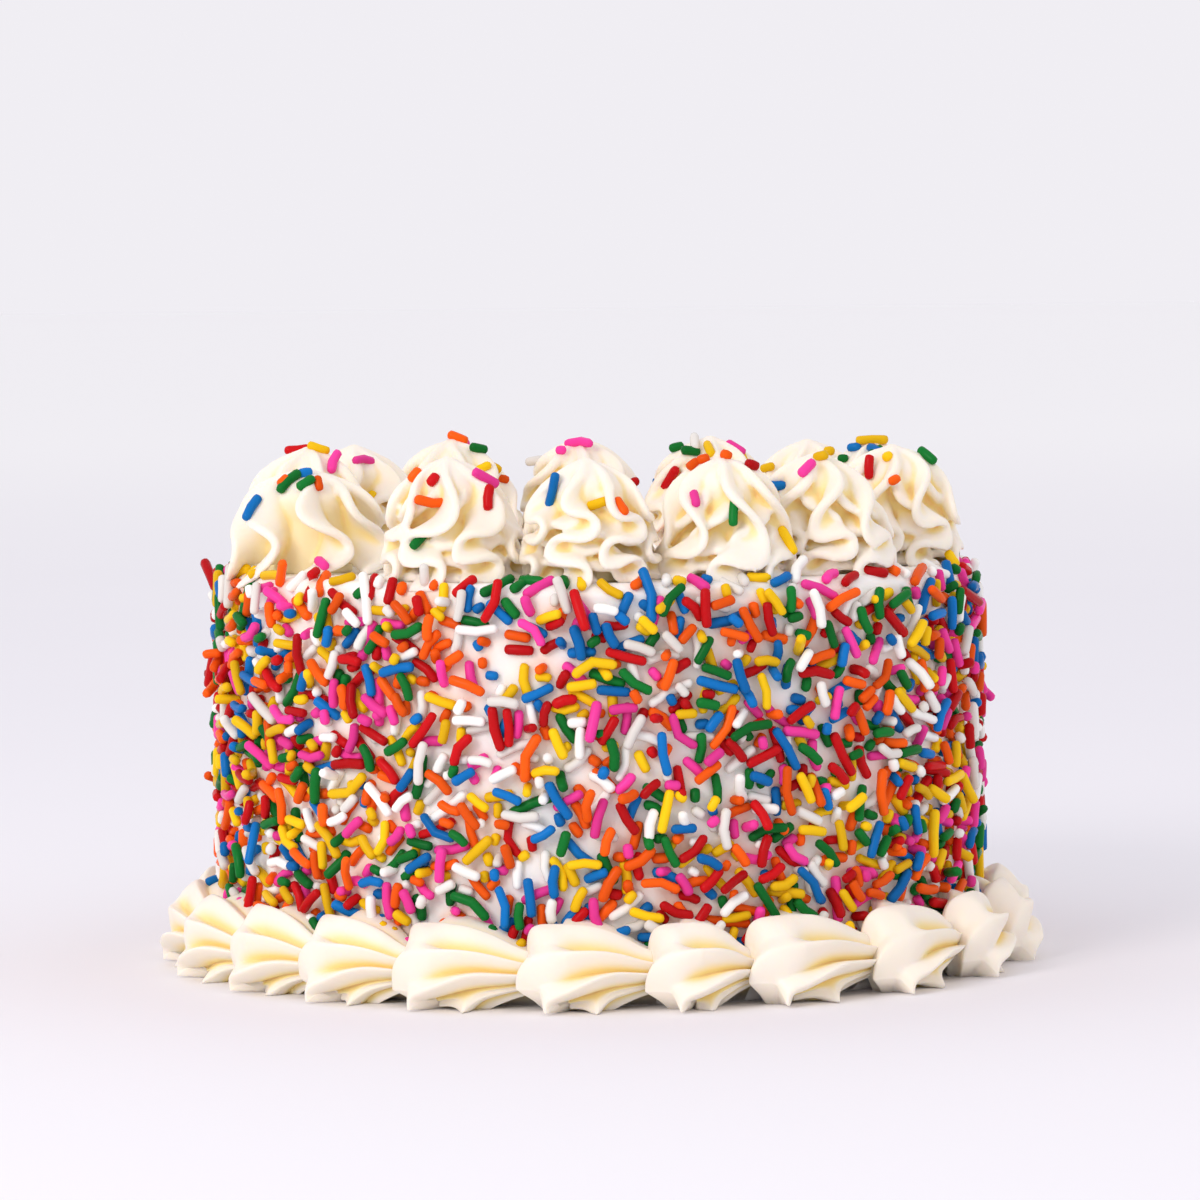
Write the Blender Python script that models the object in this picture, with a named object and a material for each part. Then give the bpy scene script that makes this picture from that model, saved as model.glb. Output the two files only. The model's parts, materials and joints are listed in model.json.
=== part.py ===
"""A rainbow cake: a round iced cake with sprinkles pressed into its side, thirteen piped
swirls of icing round the top edge and a border of piped scrolls round its foot.

Metres, +Z up. The origin is the centre of the cake's underside. -Y is the front, and an
angle round the cake is measured from the front towards +X."""

import math
import random

import bmesh
import bpy
import numpy as np

# Iced cake
WALL_RADIUS = 0.0810
WALL_HEIGHT = 0.0865
EDGE_ROUND = 0.0030
WALL_SIDES = 72
EDGE_STEPS = 2

# Room between pieces that touch
GAP = 0.0003

UPWARDS = np.array([0.0, 0.0, 1.0])

# Sprinkles: little rods of sugar with rounded ends
SPRINKLE_RADIUS = 0.0010
SPRINKLE_LENGTHS = (0.0050, 0.0090)
SPRINKLE_SIDES = 5
WALL_ROWS = 5
WALL_COLUMNS = 27
WALL_SPRINKLES_FROM = 0.0235
PROUD_SPRINKLE_LEAN = 0.25
TOP_SPRINKLES = 9
SWIRL_SPRINKLES = 2
SPRINKLE_TIP = 0.6
SPRINKLE_COLOURS = {
    "red": (0.58, 0.008, 0.013),
    "orange": (0.95, 0.13, 0.010),
    "yellow": (0.95, 0.57, 0.012),
    "green": (0.008, 0.19, 0.035),
    "blue": (0.010, 0.16, 0.55),
    "pink": (0.92, 0.075, 0.36),
    "white": (0.86, 0.80, 0.74),
}

# Swirls on the top edge: angle from the front in degrees and size beside the usual one.
# The first one is wider and lower than the rest.
SWIRL_RING = 0.0655
SWIRL_RADIUS = 0.0138
SWIRL_HEIGHT = 0.0252
FRONT_SWIRLS = ((-70, 1.18), (-27, 1.00), (-1, 0.98), (24, 0.97), (48, 0.96), (80, 1.01))
BACK_SWIRLS = 7
BIG_SWIRL_ROOM = 29.5
BIG_SWIRL_HEIGHT = 0.87
SWIRL_FINS = 6
FIN_HALF_ANGLE = math.radians(8)
SWIRL_VALLEY = 0.58
SWIRL_SWING = math.radians(16)
SWIRL_TWIST = math.radians(24)
SWIRL_LEVELS = (0.0, 0.10, 0.28, 0.46, 0.62, 0.76, 0.90)
SWIRL_WIDTHS = (0.86, 1.00, 0.98, 1.00, 0.88, 0.64, 0.30)
SWIRL_SWINGS = (0.0, 1.0, -1.0, 1.0, -0.7, 0.0, 0.0)
PEAK_LEAN = 0.14
SPRINKLE_SPOT = (0.52, 0.74)

# Scrolls at the foot: each starts at one of these angles and ends where the next starts
FRONT_SCROLLS = (-91.5, -75.0, -58.0, -43.5, -28.5, -11.0, 5.5, 19.0, 38.0, 56.5)
BACK_SCROLLS = 12
SCROLL_ARC_RADIUS = 0.0870
SCROLL_FIN_ANGLE = 42.0
SCROLL_FIRST_FIN = 105.0
SCROLL_FIN_SIZES = (1.00, 0.91, 0.93, 1.02)
SCROLL_VALLEY = 0.68
SCROLL_HALF_WIDTH = 0.0120
SCROLL_HALF_HEIGHT = 0.0130
SCROLL_CORE = (0.0045, 0.0065)
SCROLL_HEAD_RADIUS = 0.0123
SCROLL_HEAD_CENTRE = 0.0126
SCROLL_HEAD_TURN = 45.0
SCROLL_PIVOT = 0.0105
SCROLL_TAIL_STEPS = (0.35, 0.70, 1.0)
SCROLL_TAIL_SIZES = (0.93, 0.76, 0.52)
SCROLL_HEAD_STEPS = (0.0, 0.40, 0.75, 1.0)
SCROLL_SIZES = (0.96, 1.03)


def clear_scene():
    for obj in list(bpy.data.objects):
        bpy.data.objects.remove(obj, do_unlink=True)


def sugar_material(name, colour, roughness):
    material = bpy.data.materials.new(name)
    material.use_nodes = True
    shader = material.node_tree.nodes["Principled BSDF"]
    shader.inputs["Base Color"].default_value = (*colour, 1.0)
    shader.inputs["Roughness"].default_value = roughness
    shader.inputs["Metallic"].default_value = 0.0
    return material


def add_object(name, mesh, material):
    mesh.materials.append(material)
    obj = bpy.data.objects.new(name, mesh)
    bpy.context.collection.objects.link(obj)
    return obj


def round_the_cake(radius, angle, height):
    """Points at these radii, angles from the front in radians and heights."""
    radius, angle, height = np.broadcast_arrays(radius, angle, height)
    return np.stack([radius * np.sin(angle), -radius * np.cos(angle), height], axis=-1)


def mesh_from_rings(name, rings, top=None):
    """A closed mesh of rings of equal length. The first ring is capped, and the last is
    capped or drawn together to the point top."""
    model = bmesh.new()
    rows = [[model.verts.new(point) for point in ring] for ring in rings]
    count = len(rows[0])
    for low, high in zip(rows, rows[1:]):
        for i in range(count):
            j = (i + 1) % count
            model.faces.new((low[i], low[j], high[j], high[i]))
    model.faces.new(rows[0])
    if top is None:
        model.faces.new(rows[-1])
    else:
        peak = model.verts.new(top)
        for i in range(count):
            model.faces.new((rows[-1][i], rows[-1][(i + 1) % count], peak))
    bmesh.ops.remove_doubles(model, verts=model.verts, dist=1e-6)
    bmesh.ops.triangulate(model, faces=model.faces)
    bmesh.ops.recalc_face_normals(model, faces=model.faces)
    mesh = bpy.data.meshes.new(name)
    model.to_mesh(mesh)
    model.free()
    return mesh


def shade_round(obj, sharp_degrees):
    obj.data.shade_smooth()
    obj.data.set_sharp_from_angle(angle=math.radians(sharp_degrees))


def sprinkle(name, centre, along, length, material):
    """One sprinkle: a straight rod with drawn-in ends, lying along a direction."""
    along = np.array(along) / np.linalg.norm(along)
    helper = np.array([0.0, 0.0, 1.0]) if abs(along[2]) < 0.9 else np.array([1.0, 0.0, 0.0])
    side = np.cross(along, helper)
    side /= np.linalg.norm(side)
    up = np.cross(side, along)
    turn = np.arange(SPRINKLE_SIDES) * 2 * math.pi / SPRINKLE_SIDES
    circle = SPRINKLE_RADIUS * (np.outer(np.cos(turn), side) + np.outer(np.sin(turn), up))
    reach = (length / 2 - SPRINKLE_TIP * SPRINKLE_RADIUS) * along
    model = bmesh.new()
    rows = [[model.verts.new(centre + end * reach + p) for p in circle] for end in (-1, 1)]
    tips = [model.verts.new(centre + end * length / 2 * along) for end in (-1, 1)]
    for i in range(SPRINKLE_SIDES):
        j = (i + 1) % SPRINKLE_SIDES
        model.faces.new((rows[0][i], rows[0][j], rows[1][j], rows[1][i]))
        model.faces.new((rows[0][j], rows[0][i], tips[0]))
        model.faces.new((rows[1][i], rows[1][j], tips[1]))
    bmesh.ops.triangulate(model, faces=model.faces)
    bmesh.ops.recalc_face_normals(model, faces=model.faces)
    mesh = bpy.data.meshes.new(name)
    model.to_mesh(mesh)
    model.free()
    return add_object(name, mesh, material)


def fuse(base, pieces):
    """Joins the pieces to the base with one Boolean union and removes them."""
    group = bpy.data.collections.new(base.name + "_sprinkles")
    bpy.context.scene.collection.children.link(group)
    for piece in pieces:
        bpy.context.collection.objects.unlink(piece)
        group.objects.link(piece)
        piece.hide_render = True
        piece.display_type = "WIRE"
    union = base.modifiers.new("sprinkles", "BOOLEAN")
    union.operation = "UNION"
    union.operand_type = "COLLECTION"
    union.collection = group
    union.solver = "EXACT"
    union.material_mode = "TRANSFER"
    graph = bpy.context.evaluated_depsgraph_get()
    mesh = bpy.data.meshes.new_from_object(base.evaluated_get(graph))
    base.modifiers.clear()
    base.data = mesh
    for piece in pieces:
        bpy.data.objects.remove(piece, do_unlink=True)
    bpy.data.collections.remove(group)


def cake_profile():
    """Radius and height down the outside of the cake, from the top's edge to its foot."""
    turns = [math.pi / 2 * (1 - i / (EDGE_STEPS + 1)) for i in range(EDGE_STEPS + 2)]
    points = [
        (
            WALL_RADIUS - EDGE_ROUND + EDGE_ROUND * math.cos(turn),
            WALL_HEIGHT - EDGE_ROUND + EDGE_ROUND * math.sin(turn),
        )
        for turn in turns
    ]
    return points + [(WALL_RADIUS, 0.0)]


def make_iced_cake(material):
    angles = np.arange(WALL_SIDES) * 2 * math.pi / WALL_SIDES
    rings = [round_the_cake(radius, angles, z) for radius, z in reversed(cake_profile())]
    return add_object("cake", mesh_from_rings("cake", rings), material)


def wall_sprinkles(colours, draw):
    """Sprinkles spread evenly round the side in staggered rows, each moved a little from
    its place there and turned its own way."""
    lowest, highest = WALL_SPRINKLES_FROM, WALL_HEIGHT - EDGE_ROUND
    pieces = []
    for i in range(WALL_ROWS * WALL_COLUMNS):
        row, column = divmod(i, WALL_COLUMNS)
        length = draw.uniform(*SPRINKLE_LENGTHS)
        tilt = draw.uniform(0, math.pi)
        rise = length / 2 * abs(math.sin(tilt))
        share = (row + 0.5 + draw.uniform(-0.32, 0.32)) / WALL_ROWS
        height = lowest + rise + share * (highest - lowest - 2 * rise)
        turn = (column + 0.5 * (row % 2) + draw.uniform(-0.22, 0.22)) / WALL_COLUMNS
        angle = 2 * math.pi * turn
        outward = round_the_cake(1.0, angle, 0.0)
        sideways = round_the_cake(1.0, angle + math.pi / 2, 0.0)
        lean = draw.choice((0.0, 0.0, 0.0, PROUD_SPRINKLE_LEAN))
        along = math.cos(tilt) * sideways + math.sin(tilt) * UPWARDS + lean * outward
        depth = WALL_RADIUS + draw.uniform(0.10, 0.60) * SPRINKLE_RADIUS
        centre = depth * outward + height * UPWARDS
        colour = colours[draw.randrange(len(colours))]
        pieces.append(sprinkle(f"wall_sprinkle_{i}", centre, along, length, colour))
    return pieces


def top_sprinkles(colours, draw):
    """Sprinkles scattered on the open middle of the top, clear of the swirls."""
    widest = SWIRL_RING - SWIRL_RADIUS - max(SPRINKLE_LENGTHS)
    golden_angle = math.pi * (3 - math.sqrt(5))
    pieces = []
    for i in range(TOP_SPRINKLES):
        length = draw.uniform(*SPRINKLE_LENGTHS)
        radius = widest * math.sqrt((i + 0.5) / TOP_SPRINKLES)
        turn = draw.uniform(0, math.pi)
        centre = round_the_cake(radius, i * golden_angle, WALL_HEIGHT + 0.3 * SPRINKLE_RADIUS)
        along = (math.cos(turn), math.sin(turn), 0.0)
        colour = colours[draw.randrange(len(colours))]
        pieces.append(sprinkle(f"top_sprinkle_{i}", centre, along, length, colour))
    return pieces


def swirl_places():
    """Angle in radians, ring radius, radius and height of each swirl, from the big one at
    the left round by the front. The back ones share the room that is left evenly."""
    places = list(FRONT_SWIRLS)
    last = FRONT_SWIRLS[-1][0]
    end = FRONT_SWIRLS[0][0] + 360 - BIG_SWIRL_ROOM
    step = (end - last) / BACK_SWIRLS
    places += [(last + (i + 1) * step, 1.0 + 0.015 * (-1) ** i) for i in range(BACK_SWIRLS)]
    for angle, size in places:
        radius = SWIRL_RADIUS * size
        big = size > 1.1
        height = SWIRL_HEIGHT * (BIG_SWIRL_HEIGHT if big else 0.5 + 0.5 * size)
        yield math.radians(angle), SWIRL_RING, radius, height


def swirl_rings(centre, radius, height, turn):
    """Rings up a swirl. Each fin is a pair of points at the rim and one in the valley
    after it. The fins swing from side to side as they climb, every other one further,
    which folds them. The valleys grow shallower towards the top."""
    fin = np.arange(SWIRL_FINS) * 2 * math.pi / SWIRL_FINS
    valley = fin + math.pi / SWIRL_FINS
    angles = np.stack([fin - FIN_HALF_ANGLE, fin + FIN_HALF_ANGLE, valley], axis=1).ravel()
    reach = np.tile([1.0, 1.0, SWIRL_VALLEY], SWIRL_FINS)
    share_of_swing = np.repeat(np.where(np.arange(SWIRL_FINS) % 2, 0.4, 1.0), 3)
    rings = []
    for level, width, swing in zip(SWIRL_LEVELS, SWIRL_WIDTHS, SWIRL_SWINGS):
        bent = angles + turn + level * SWIRL_TWIST + swing * SWIRL_SWING * share_of_swing
        out = radius * width * (reach + (1 - reach) * level / 2)
        rise = np.full(len(bent), level * height)
        rings.append(centre + np.stack([out * np.cos(bent), out * np.sin(bent), rise], axis=1))
    return rings


def make_swirl(name, place, material, colours, draw):
    angle, ring, radius, height = place
    centre = round_the_cake(ring, angle, WALL_HEIGHT + GAP)
    turn = draw.uniform(0, 2 * math.pi / SWIRL_FINS)
    lean = round_the_cake(PEAK_LEAN * radius, draw.uniform(0, 2 * math.pi), height)
    rings = swirl_rings(centre, radius, height, turn)
    obj = add_object(name, mesh_from_rings(name, rings, centre + lean), material)
    pieces = []
    for i in range(SWIRL_SPRINKLES):
        way = angle + draw.uniform(-0.7, 0.7) + 2.2 * i
        out = round_the_cake(1.0, way, 0.0)
        across = round_the_cake(1.0, way + math.pi / 2, 0.0)
        spot = centre + SPRINKLE_SPOT[0] * radius * out + SPRINKLE_SPOT[1] * height * UPWARDS
        along = across + draw.uniform(-0.5, 0.5) * out + draw.uniform(-0.8, 0.8) * UPWARDS
        length = draw.uniform(*SPRINKLE_LENGTHS)
        colour = colours[draw.randrange(len(colours))]
        pieces.append(sprinkle(f"{name}_sprinkle_{i}", spot, along, length, colour))
    fuse(obj, pieces)
    return obj


def scroll_columns():
    """Angle and size of each line along a scroll: fin, valley, fin and so on, from the
    wall over the top and down to the floor."""
    columns = [(SCROLL_FIRST_FIN + SCROLL_FIN_ANGLE / 2, SCROLL_VALLEY)]
    for i, size in enumerate(SCROLL_FIN_SIZES):
        angle = SCROLL_FIRST_FIN - i * SCROLL_FIN_ANGLE
        columns.append((angle, size))
        columns.append((angle - SCROLL_FIN_ANGLE / 2, SCROLL_VALLEY))
    columns.append((SCROLL_FIRST_FIN - len(SCROLL_FIN_SIZES) * SCROLL_FIN_ANGLE, 1.0))
    return columns


def scroll_section(size):
    """Distance from the wall and height of each column in one upright section, with the
    wall's foot as the last point. Nothing reaches into the wall or below the floor."""
    out, up = SCROLL_CORE
    points = []
    for degrees, reach in scroll_columns():
        across, rise = math.cos(math.radians(degrees)), math.sin(math.radians(degrees))
        step = reach * size
        x, z = step * SCROLL_HALF_WIDTH * across, step * SCROLL_HALF_HEIGHT * rise
        if out + x < GAP:
            x, z = GAP - out, z * (GAP - out) / x
        if up + z < 0:
            x, z = x * -up / z, -up
        points.append((out + x, up + z))
    points.append((GAP, 0.0))
    return np.array(points)


def scroll_foot():
    """Place along the arc and distance from the wall of each column on the floor under
    the head, where the icing was first pressed out."""
    out = SCROLL_CORE[0]
    points = []
    for degrees, reach in scroll_columns():
        turned = math.radians(degrees + SCROLL_HEAD_TURN)
        along = SCROLL_HEAD_CENTRE - reach * SCROLL_HEAD_RADIUS * math.sin(turned)
        away = out + reach * SCROLL_HEAD_RADIUS * math.cos(turned)
        points.append((min(along, SCROLL_PIVOT), max(away, GAP)))
    points[0] = (SCROLL_PIVOT, GAP)
    points[-1] = (SCROLL_PIVOT, points[-1][1])
    points.append((SCROLL_PIVOT, GAP))
    return np.array(points)


def scroll_rings(start, end, size):
    """Rings along a scroll: from the floor up round the blunt head, over the hump and
    down to the narrow tail."""
    length = (end - start) * SCROLL_ARC_RADIUS - 2 * GAP
    section = scroll_section(size)
    foot = scroll_foot()
    foot[-2, 1] = section[-2, 0]
    stations = []
    for share in SCROLL_HEAD_STEPS:
        rise = math.sqrt(math.sin(share * math.pi / 2))
        back = math.sqrt(math.cos(share * math.pi / 2)) if share < 1 else 0.0
        along = SCROLL_PIVOT - (SCROLL_PIVOT - foot[:, 0]) * back
        away = foot[:, 1] + (section[:, 0] - foot[:, 1]) * share
        stations.append((along, away, section[:, 1] * rise))
    for share, shrink in zip(SCROLL_TAIL_STEPS, SCROLL_TAIL_SIZES):
        along = SCROLL_PIVOT + share * (length - SCROLL_PIVOT)
        away, height = scroll_section(size * shrink).T
        stations.append((along, away, height))
    return [
        round_the_cake(WALL_RADIUS + away, start + (GAP + along) / SCROLL_ARC_RADIUS, height)
        for along, away, height in stations
    ]


def scroll_starts():
    last, end = FRONT_SCROLLS[-1], FRONT_SCROLLS[0] + 360
    step = (end - last) / (BACK_SCROLLS + 1)
    back = [last + (i + 1) * step for i in range(BACK_SCROLLS)]
    return [math.radians(angle) for angle in [*FRONT_SCROLLS, *back, end]]


def main():
    clear_scene()
    draw = random.Random(7)
    side_icing = sugar_material("side_icing", (0.88, 0.80, 0.77), 0.5)
    piped_icing = sugar_material("piped_icing", (0.92, 0.87, 0.72), 0.42)
    colours = [
        sugar_material("sprinkle_" + name, colour, 0.3) for name, colour in SPRINKLE_COLOURS.items()
    ]
    cake = make_iced_cake(side_icing)
    fuse(cake, wall_sprinkles(colours, draw) + top_sprinkles(colours, draw))
    shade_round(cake, 30)
    for i, place in enumerate(swirl_places(), 1):
        swirl = make_swirl(f"swirl_{i:02d}", place, piped_icing, colours, draw)
        shade_round(swirl, 60)
    starts = scroll_starts()
    for i, (start, end) in enumerate(zip(starts, starts[1:]), 1):
        name = f"scroll_{i:02d}"
        rings = scroll_rings(start, end, draw.uniform(*SCROLL_SIZES))
        scroll = add_object(name, mesh_from_rings(name, rings), piped_icing)
        shade_round(scroll, 60)


main()
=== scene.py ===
# %% [markdown]
# # A rainbow cake
#
# A small round celebration cake. It is covered in pale icing, thousands of coloured sugar
# sprinkles are pressed into its side, tall swirls of icing stand round the top edge, and a
# border of piped scrolls hides the joint at its foot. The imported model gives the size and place
# of each piece. Here every piece gets its real surface: the folds that a star nozzle leaves, the
# sprinkles one by one, and icing that glows a little where it is thick.

# %% Load the frame
import json
import math

import bpy
import numpy as np
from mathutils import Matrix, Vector
from mathutils.bvhtree import BVHTree

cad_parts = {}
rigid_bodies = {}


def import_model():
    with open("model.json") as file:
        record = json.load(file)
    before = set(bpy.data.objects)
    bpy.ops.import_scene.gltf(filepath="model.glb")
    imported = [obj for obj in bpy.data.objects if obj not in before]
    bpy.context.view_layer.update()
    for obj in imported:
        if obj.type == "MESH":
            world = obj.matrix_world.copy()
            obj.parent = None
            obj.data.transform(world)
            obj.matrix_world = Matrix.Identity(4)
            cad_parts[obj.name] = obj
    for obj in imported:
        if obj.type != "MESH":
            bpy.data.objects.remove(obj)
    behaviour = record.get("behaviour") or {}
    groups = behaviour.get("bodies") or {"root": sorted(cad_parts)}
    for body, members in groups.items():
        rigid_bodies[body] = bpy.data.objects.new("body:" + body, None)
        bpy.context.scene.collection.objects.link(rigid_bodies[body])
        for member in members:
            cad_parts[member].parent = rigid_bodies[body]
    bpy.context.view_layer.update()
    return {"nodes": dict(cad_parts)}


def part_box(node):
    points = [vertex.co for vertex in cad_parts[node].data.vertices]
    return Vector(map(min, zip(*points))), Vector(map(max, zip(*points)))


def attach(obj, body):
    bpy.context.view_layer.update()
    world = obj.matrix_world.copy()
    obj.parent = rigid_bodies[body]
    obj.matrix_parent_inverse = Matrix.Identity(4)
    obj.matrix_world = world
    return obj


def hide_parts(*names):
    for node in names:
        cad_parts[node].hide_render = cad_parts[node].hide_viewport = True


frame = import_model()
MM = 0.001

# %% [markdown]
# ## Sizes
#
# A maker starts from a few sizes: the tin, the height of the layers with their icing, and the
# nozzles. The wall has the sizes that its solid was made with, and the frame says where each
# swirl stands. Angles round the cake are measured from the front, which faces -Y, towards +X.

# %% Sizes of the cake
WALL_RADIUS = 81.0 * MM
WALL_HEIGHT = 86.5 * MM
EDGE_ROUND = 3.0 * MM
SWIRLS = sorted(name for name in frame["nodes"] if name.startswith("swirl_"))
SCROLLS = sorted(name for name in frame["nodes"] if name.startswith("scroll_"))


def box_centre(node):
    """The middle of a node's box."""
    low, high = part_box(node)
    return (np.array(low) + np.array(high)) / 2


print(len(SWIRLS), "swirls and", len(SCROLLS), "scrolls")

# %% [markdown]
# ## Building meshes from arrays
#
# Every surface here is a grid of points worked out with numpy in one go. Three small helpers
# turn such a grid into a mesh: one lists the faces between neighbouring grid points, one fills a
# mesh from arrays, and one makes smooth waves for the unevenness that a hand leaves.


# %% Mesh helpers
def grid_faces(rows, columns, first=0):
    """Four-sided faces of a grid of rows by columns whose columns close into a ring."""
    row, column = np.meshgrid(np.arange(rows - 1), np.arange(columns), indexing="ij")
    after = (column + 1) % columns
    corners = (row * columns + column, row * columns + after)
    corners += ((row + 1) * columns + after, (row + 1) * columns + column)
    return first + np.stack(corners, axis=-1).reshape(-1, 4)


def fan_faces(ring, centre):
    """Triangles from a ring of point numbers to one centre point."""
    return np.stack([np.roll(ring, -1), ring, np.full(len(ring), centre)], axis=1)


def mesh_object(name, points, face_sets, material):
    """A smooth-shaded object from points and arrays of faces, one array for each face size."""
    loops = np.concatenate([faces.ravel() for faces in face_sets]).astype(np.int32)
    sizes = np.concatenate([np.full(len(faces), faces.shape[1]) for faces in face_sets])
    starts = np.concatenate([[0], np.cumsum(sizes)[:-1]]).astype(np.int32)
    mesh = bpy.data.meshes.new(name)
    mesh.vertices.add(len(points))
    mesh.vertices.foreach_set("co", np.asarray(points, np.float32).ravel())
    mesh.loops.add(len(loops))
    mesh.loops.foreach_set("vertex_index", loops)
    mesh.polygons.add(len(sizes))
    mesh.polygons.foreach_set("loop_start", starts)
    mesh.polygons.foreach_set("use_smooth", np.full(len(sizes), True))
    mesh.update(calc_edges=True)
    mesh.validate()
    mesh.materials.append(material)
    obj = bpy.data.objects.new(name, mesh)
    bpy.context.scene.collection.objects.link(obj)
    return obj


def round_the_cake(radius, angle, height):
    """Points at these radii, angles from the front and heights."""
    radius, angle, height = np.broadcast_arrays(radius, angle, height)
    return np.stack([radius * np.sin(angle), -radius * np.cos(angle), height], axis=-1)


def soft_waves(angle, height, draw, count, most_turns, reach):
    """Gentle unevenness: a sum of a few waves that run round and up in random directions,
    scaled to reach about one."""
    total = np.zeros(np.broadcast(angle, height).shape)
    for _ in range(count):
        turns = draw.integers(1, most_turns + 1)
        climb = draw.uniform(-1, 1) * most_turns / WALL_RADIUS
        phase = draw.uniform(0, 2 * math.pi)
        total += np.sin(turns * angle + climb * height + phase) / math.sqrt(count / 2)
    return reach * total


print("helpers ready")

# %% [markdown]
# ## Shader maths
#
# A material is easier to read as a sum than as a drawing of wires. This class wraps one output
# of a node, so that `0.3 + 0.1 * noise` adds the Math nodes by itself. Colours go through a Mix
# node, because a Math node would turn them grey.


# %% A small language for materials
class Wire:
    """One output socket in a material, with arithmetic."""

    def __init__(self, paint, socket):
        self.paint = paint
        self.socket = socket

    def maths(self, operation, a, b):
        """A Math node on two numbers or wires."""
        node = self.paint.node("ShaderNodeMath", {"operation": operation}, {0: a, 1: b})
        return Wire(self.paint, node.outputs[0])

    def __add__(self, other):
        return self.maths("ADD", self, other)

    def __radd__(self, other):
        return self.maths("ADD", other, self)

    def __mul__(self, other):
        return self.maths("MULTIPLY", self, other)

    def __rmul__(self, other):
        return self.maths("MULTIPLY", other, self)


class Paint:
    """A material under construction, with its Principled shader."""

    def __init__(self, name):
        self.material = bpy.data.materials.new(name)
        self.material.use_nodes = True
        self.tree = self.material.node_tree
        self.shader = self.tree.nodes["Principled BSDF"]
        coordinates = self.node("ShaderNodeTexCoord", {}, {})
        self.place = Wire(self, coordinates.outputs["Object"])

    def node(self, kind, settings, sockets):
        """Adds a node: its settings first, then values or wires for its input sockets."""
        made = self.tree.nodes.new(kind)
        for name, value in settings.items():
            setattr(made, name, value)
        for name, value in sockets.items():
            if isinstance(value, Wire):
                self.tree.links.new(value.socket, made.inputs[name])
            else:
                made.inputs[name].default_value = value
        return made

    def noise(self, scale, detail=3.0, roughness=0.5):
        """Cloudy noise on the object's own coordinates. The scale counts waves in a metre."""
        sockets = {"Vector": self.place, "Scale": scale, "Detail": detail, "Roughness": roughness}
        return Wire(self, self.node("ShaderNodeTexNoise", {}, sockets).outputs[0])

    def attribute(self, name):
        """A value that the mesh holds at each point, such as how deep it lies in a fold."""
        node = self.node("ShaderNodeAttribute", {"attribute_name": name}, {})
        return Wire(self, node.outputs["Fac"])

    def range(self, value, low, high, to_low=0.0, to_high=1.0):
        """Maps low..high to to_low..to_high with soft ends and no overshoot."""
        settings = {"interpolation_type": "SMOOTHSTEP", "clamp": True}
        sockets = {
            "Value": value, "From Min": low, "From Max": high, "To Min": to_low, "To Max": to_high,
        }
        return Wire(self, self.node("ShaderNodeMapRange", settings, sockets).outputs[0])

    def mix(self, share, first, second):
        """The first colour where share is 0 and the second where it is 1."""
        colours = [
            value if isinstance(value, Wire) else (*value, 1.0) for value in (first, second)
        ]
        node = self.node(
            "ShaderNodeMix", {"data_type": "RGBA"}, {0: share, 6: colours[0], 7: colours[1]}
        )
        return Wire(self, node.outputs[2])

    def bump(self, height, strength, distance):
        """A normal that leans as if the surface had this height, in shares of the distance."""
        sockets = {"Height": height, "Strength": strength, "Distance": distance}
        return Wire(self, self.node("ShaderNodeBump", {}, sockets).outputs[0])

    def set(self, **sockets):
        """Sets the shader's sockets, named with underscores for spaces."""
        for name, value in sockets.items():
            socket = self.shader.inputs[name.replace("_", " ")]
            if isinstance(value, Wire):
                self.tree.links.new(value.socket, socket)
            else:
                socket.default_value = value
        return self.material


print("shader maths ready")

# %% [markdown]
# ## Icing
#
# Butter icing is whipped fat and sugar. It is pale ivory, light enters it a little way and comes
# out warmer, and its skin is smooth with a soft shine. In the deep folds light bounces from cream
# to cream and turns yellow, so that bounced light is painted into the folds as a warmer colour,
# from an attribute that says how far a point lies below its neighbours. The icing on the side has
# taken a little pink from the sprinkles that were pressed into it: partly their dye, partly their
# light bounced onto it, painted as one tint.


# %% Icing materials
def piped_icing():
    """Ivory in the open, yellow in the folds and warmer still at their bottom."""
    paint = Paint("piped_icing")
    depth = paint.attribute("fold_depth")
    clouds = paint.noise(60, 2)
    ivory = paint.mix(clouds, (0.955, 0.856, 0.712), (0.968, 0.882, 0.785))
    yellow = paint.mix(paint.range(depth, 0.06, 0.65), ivory, (0.970, 0.785, 0.350))
    warm = paint.mix(paint.range(depth, 0.65, 1.0), yellow, (0.960, 0.700, 0.300))
    grain = 0.7 * paint.noise(900, 3) + 0.3 * paint.noise(260, 2)
    return paint.set(
        Base_Color=warm,
        Roughness=0.40 + 0.14 * paint.noise(400, 2),
        Normal=paint.bump(grain, 0.22, 0.22 * MM),
        Subsurface_Weight=0.35,
        Subsurface_Radius=(1.0, 0.78, 0.42),
        Subsurface_Scale=2.4 * MM,
    )


def side_icing():
    """Nearly white, with a blush in soft patches and a warm tint near the sprinkles: partly their
    dye bled into it, partly painted light that bounces off them.
    """
    paint = Paint("side_icing")
    blush = paint.range(paint.noise(45, 3), 0.44, 0.66)
    base = paint.mix(blush, (0.980, 0.940, 0.890), (0.980, 0.900, 0.830))
    # The warm tint near the sprinkles: their dye together with their bounced light, painted.
    dye_and_bounce = paint.range(paint.attribute("dye_and_bounce"), 0.15, 1.0) * (0.6 + 0.5 * paint.noise(170, 2))
    tinted = paint.mix(dye_and_bounce, base, (0.975, 0.740, 0.590))
    grain = 0.6 * paint.noise(500, 3) + 0.4 * paint.noise(130, 3)
    return paint.set(
        Base_Color=tinted,
        Roughness=0.46 + 0.16 * paint.noise(300, 2),
        Normal=paint.bump(grain, 0.35, 0.35 * MM),
        Subsurface_Weight=0.3,
        Subsurface_Radius=(1.0, 0.7, 0.55),
        Subsurface_Scale=2.5 * MM,
    )


PIPED = piped_icing()
SIDE = side_icing()
print("icing:", PIPED.name, SIDE.name)

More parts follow.
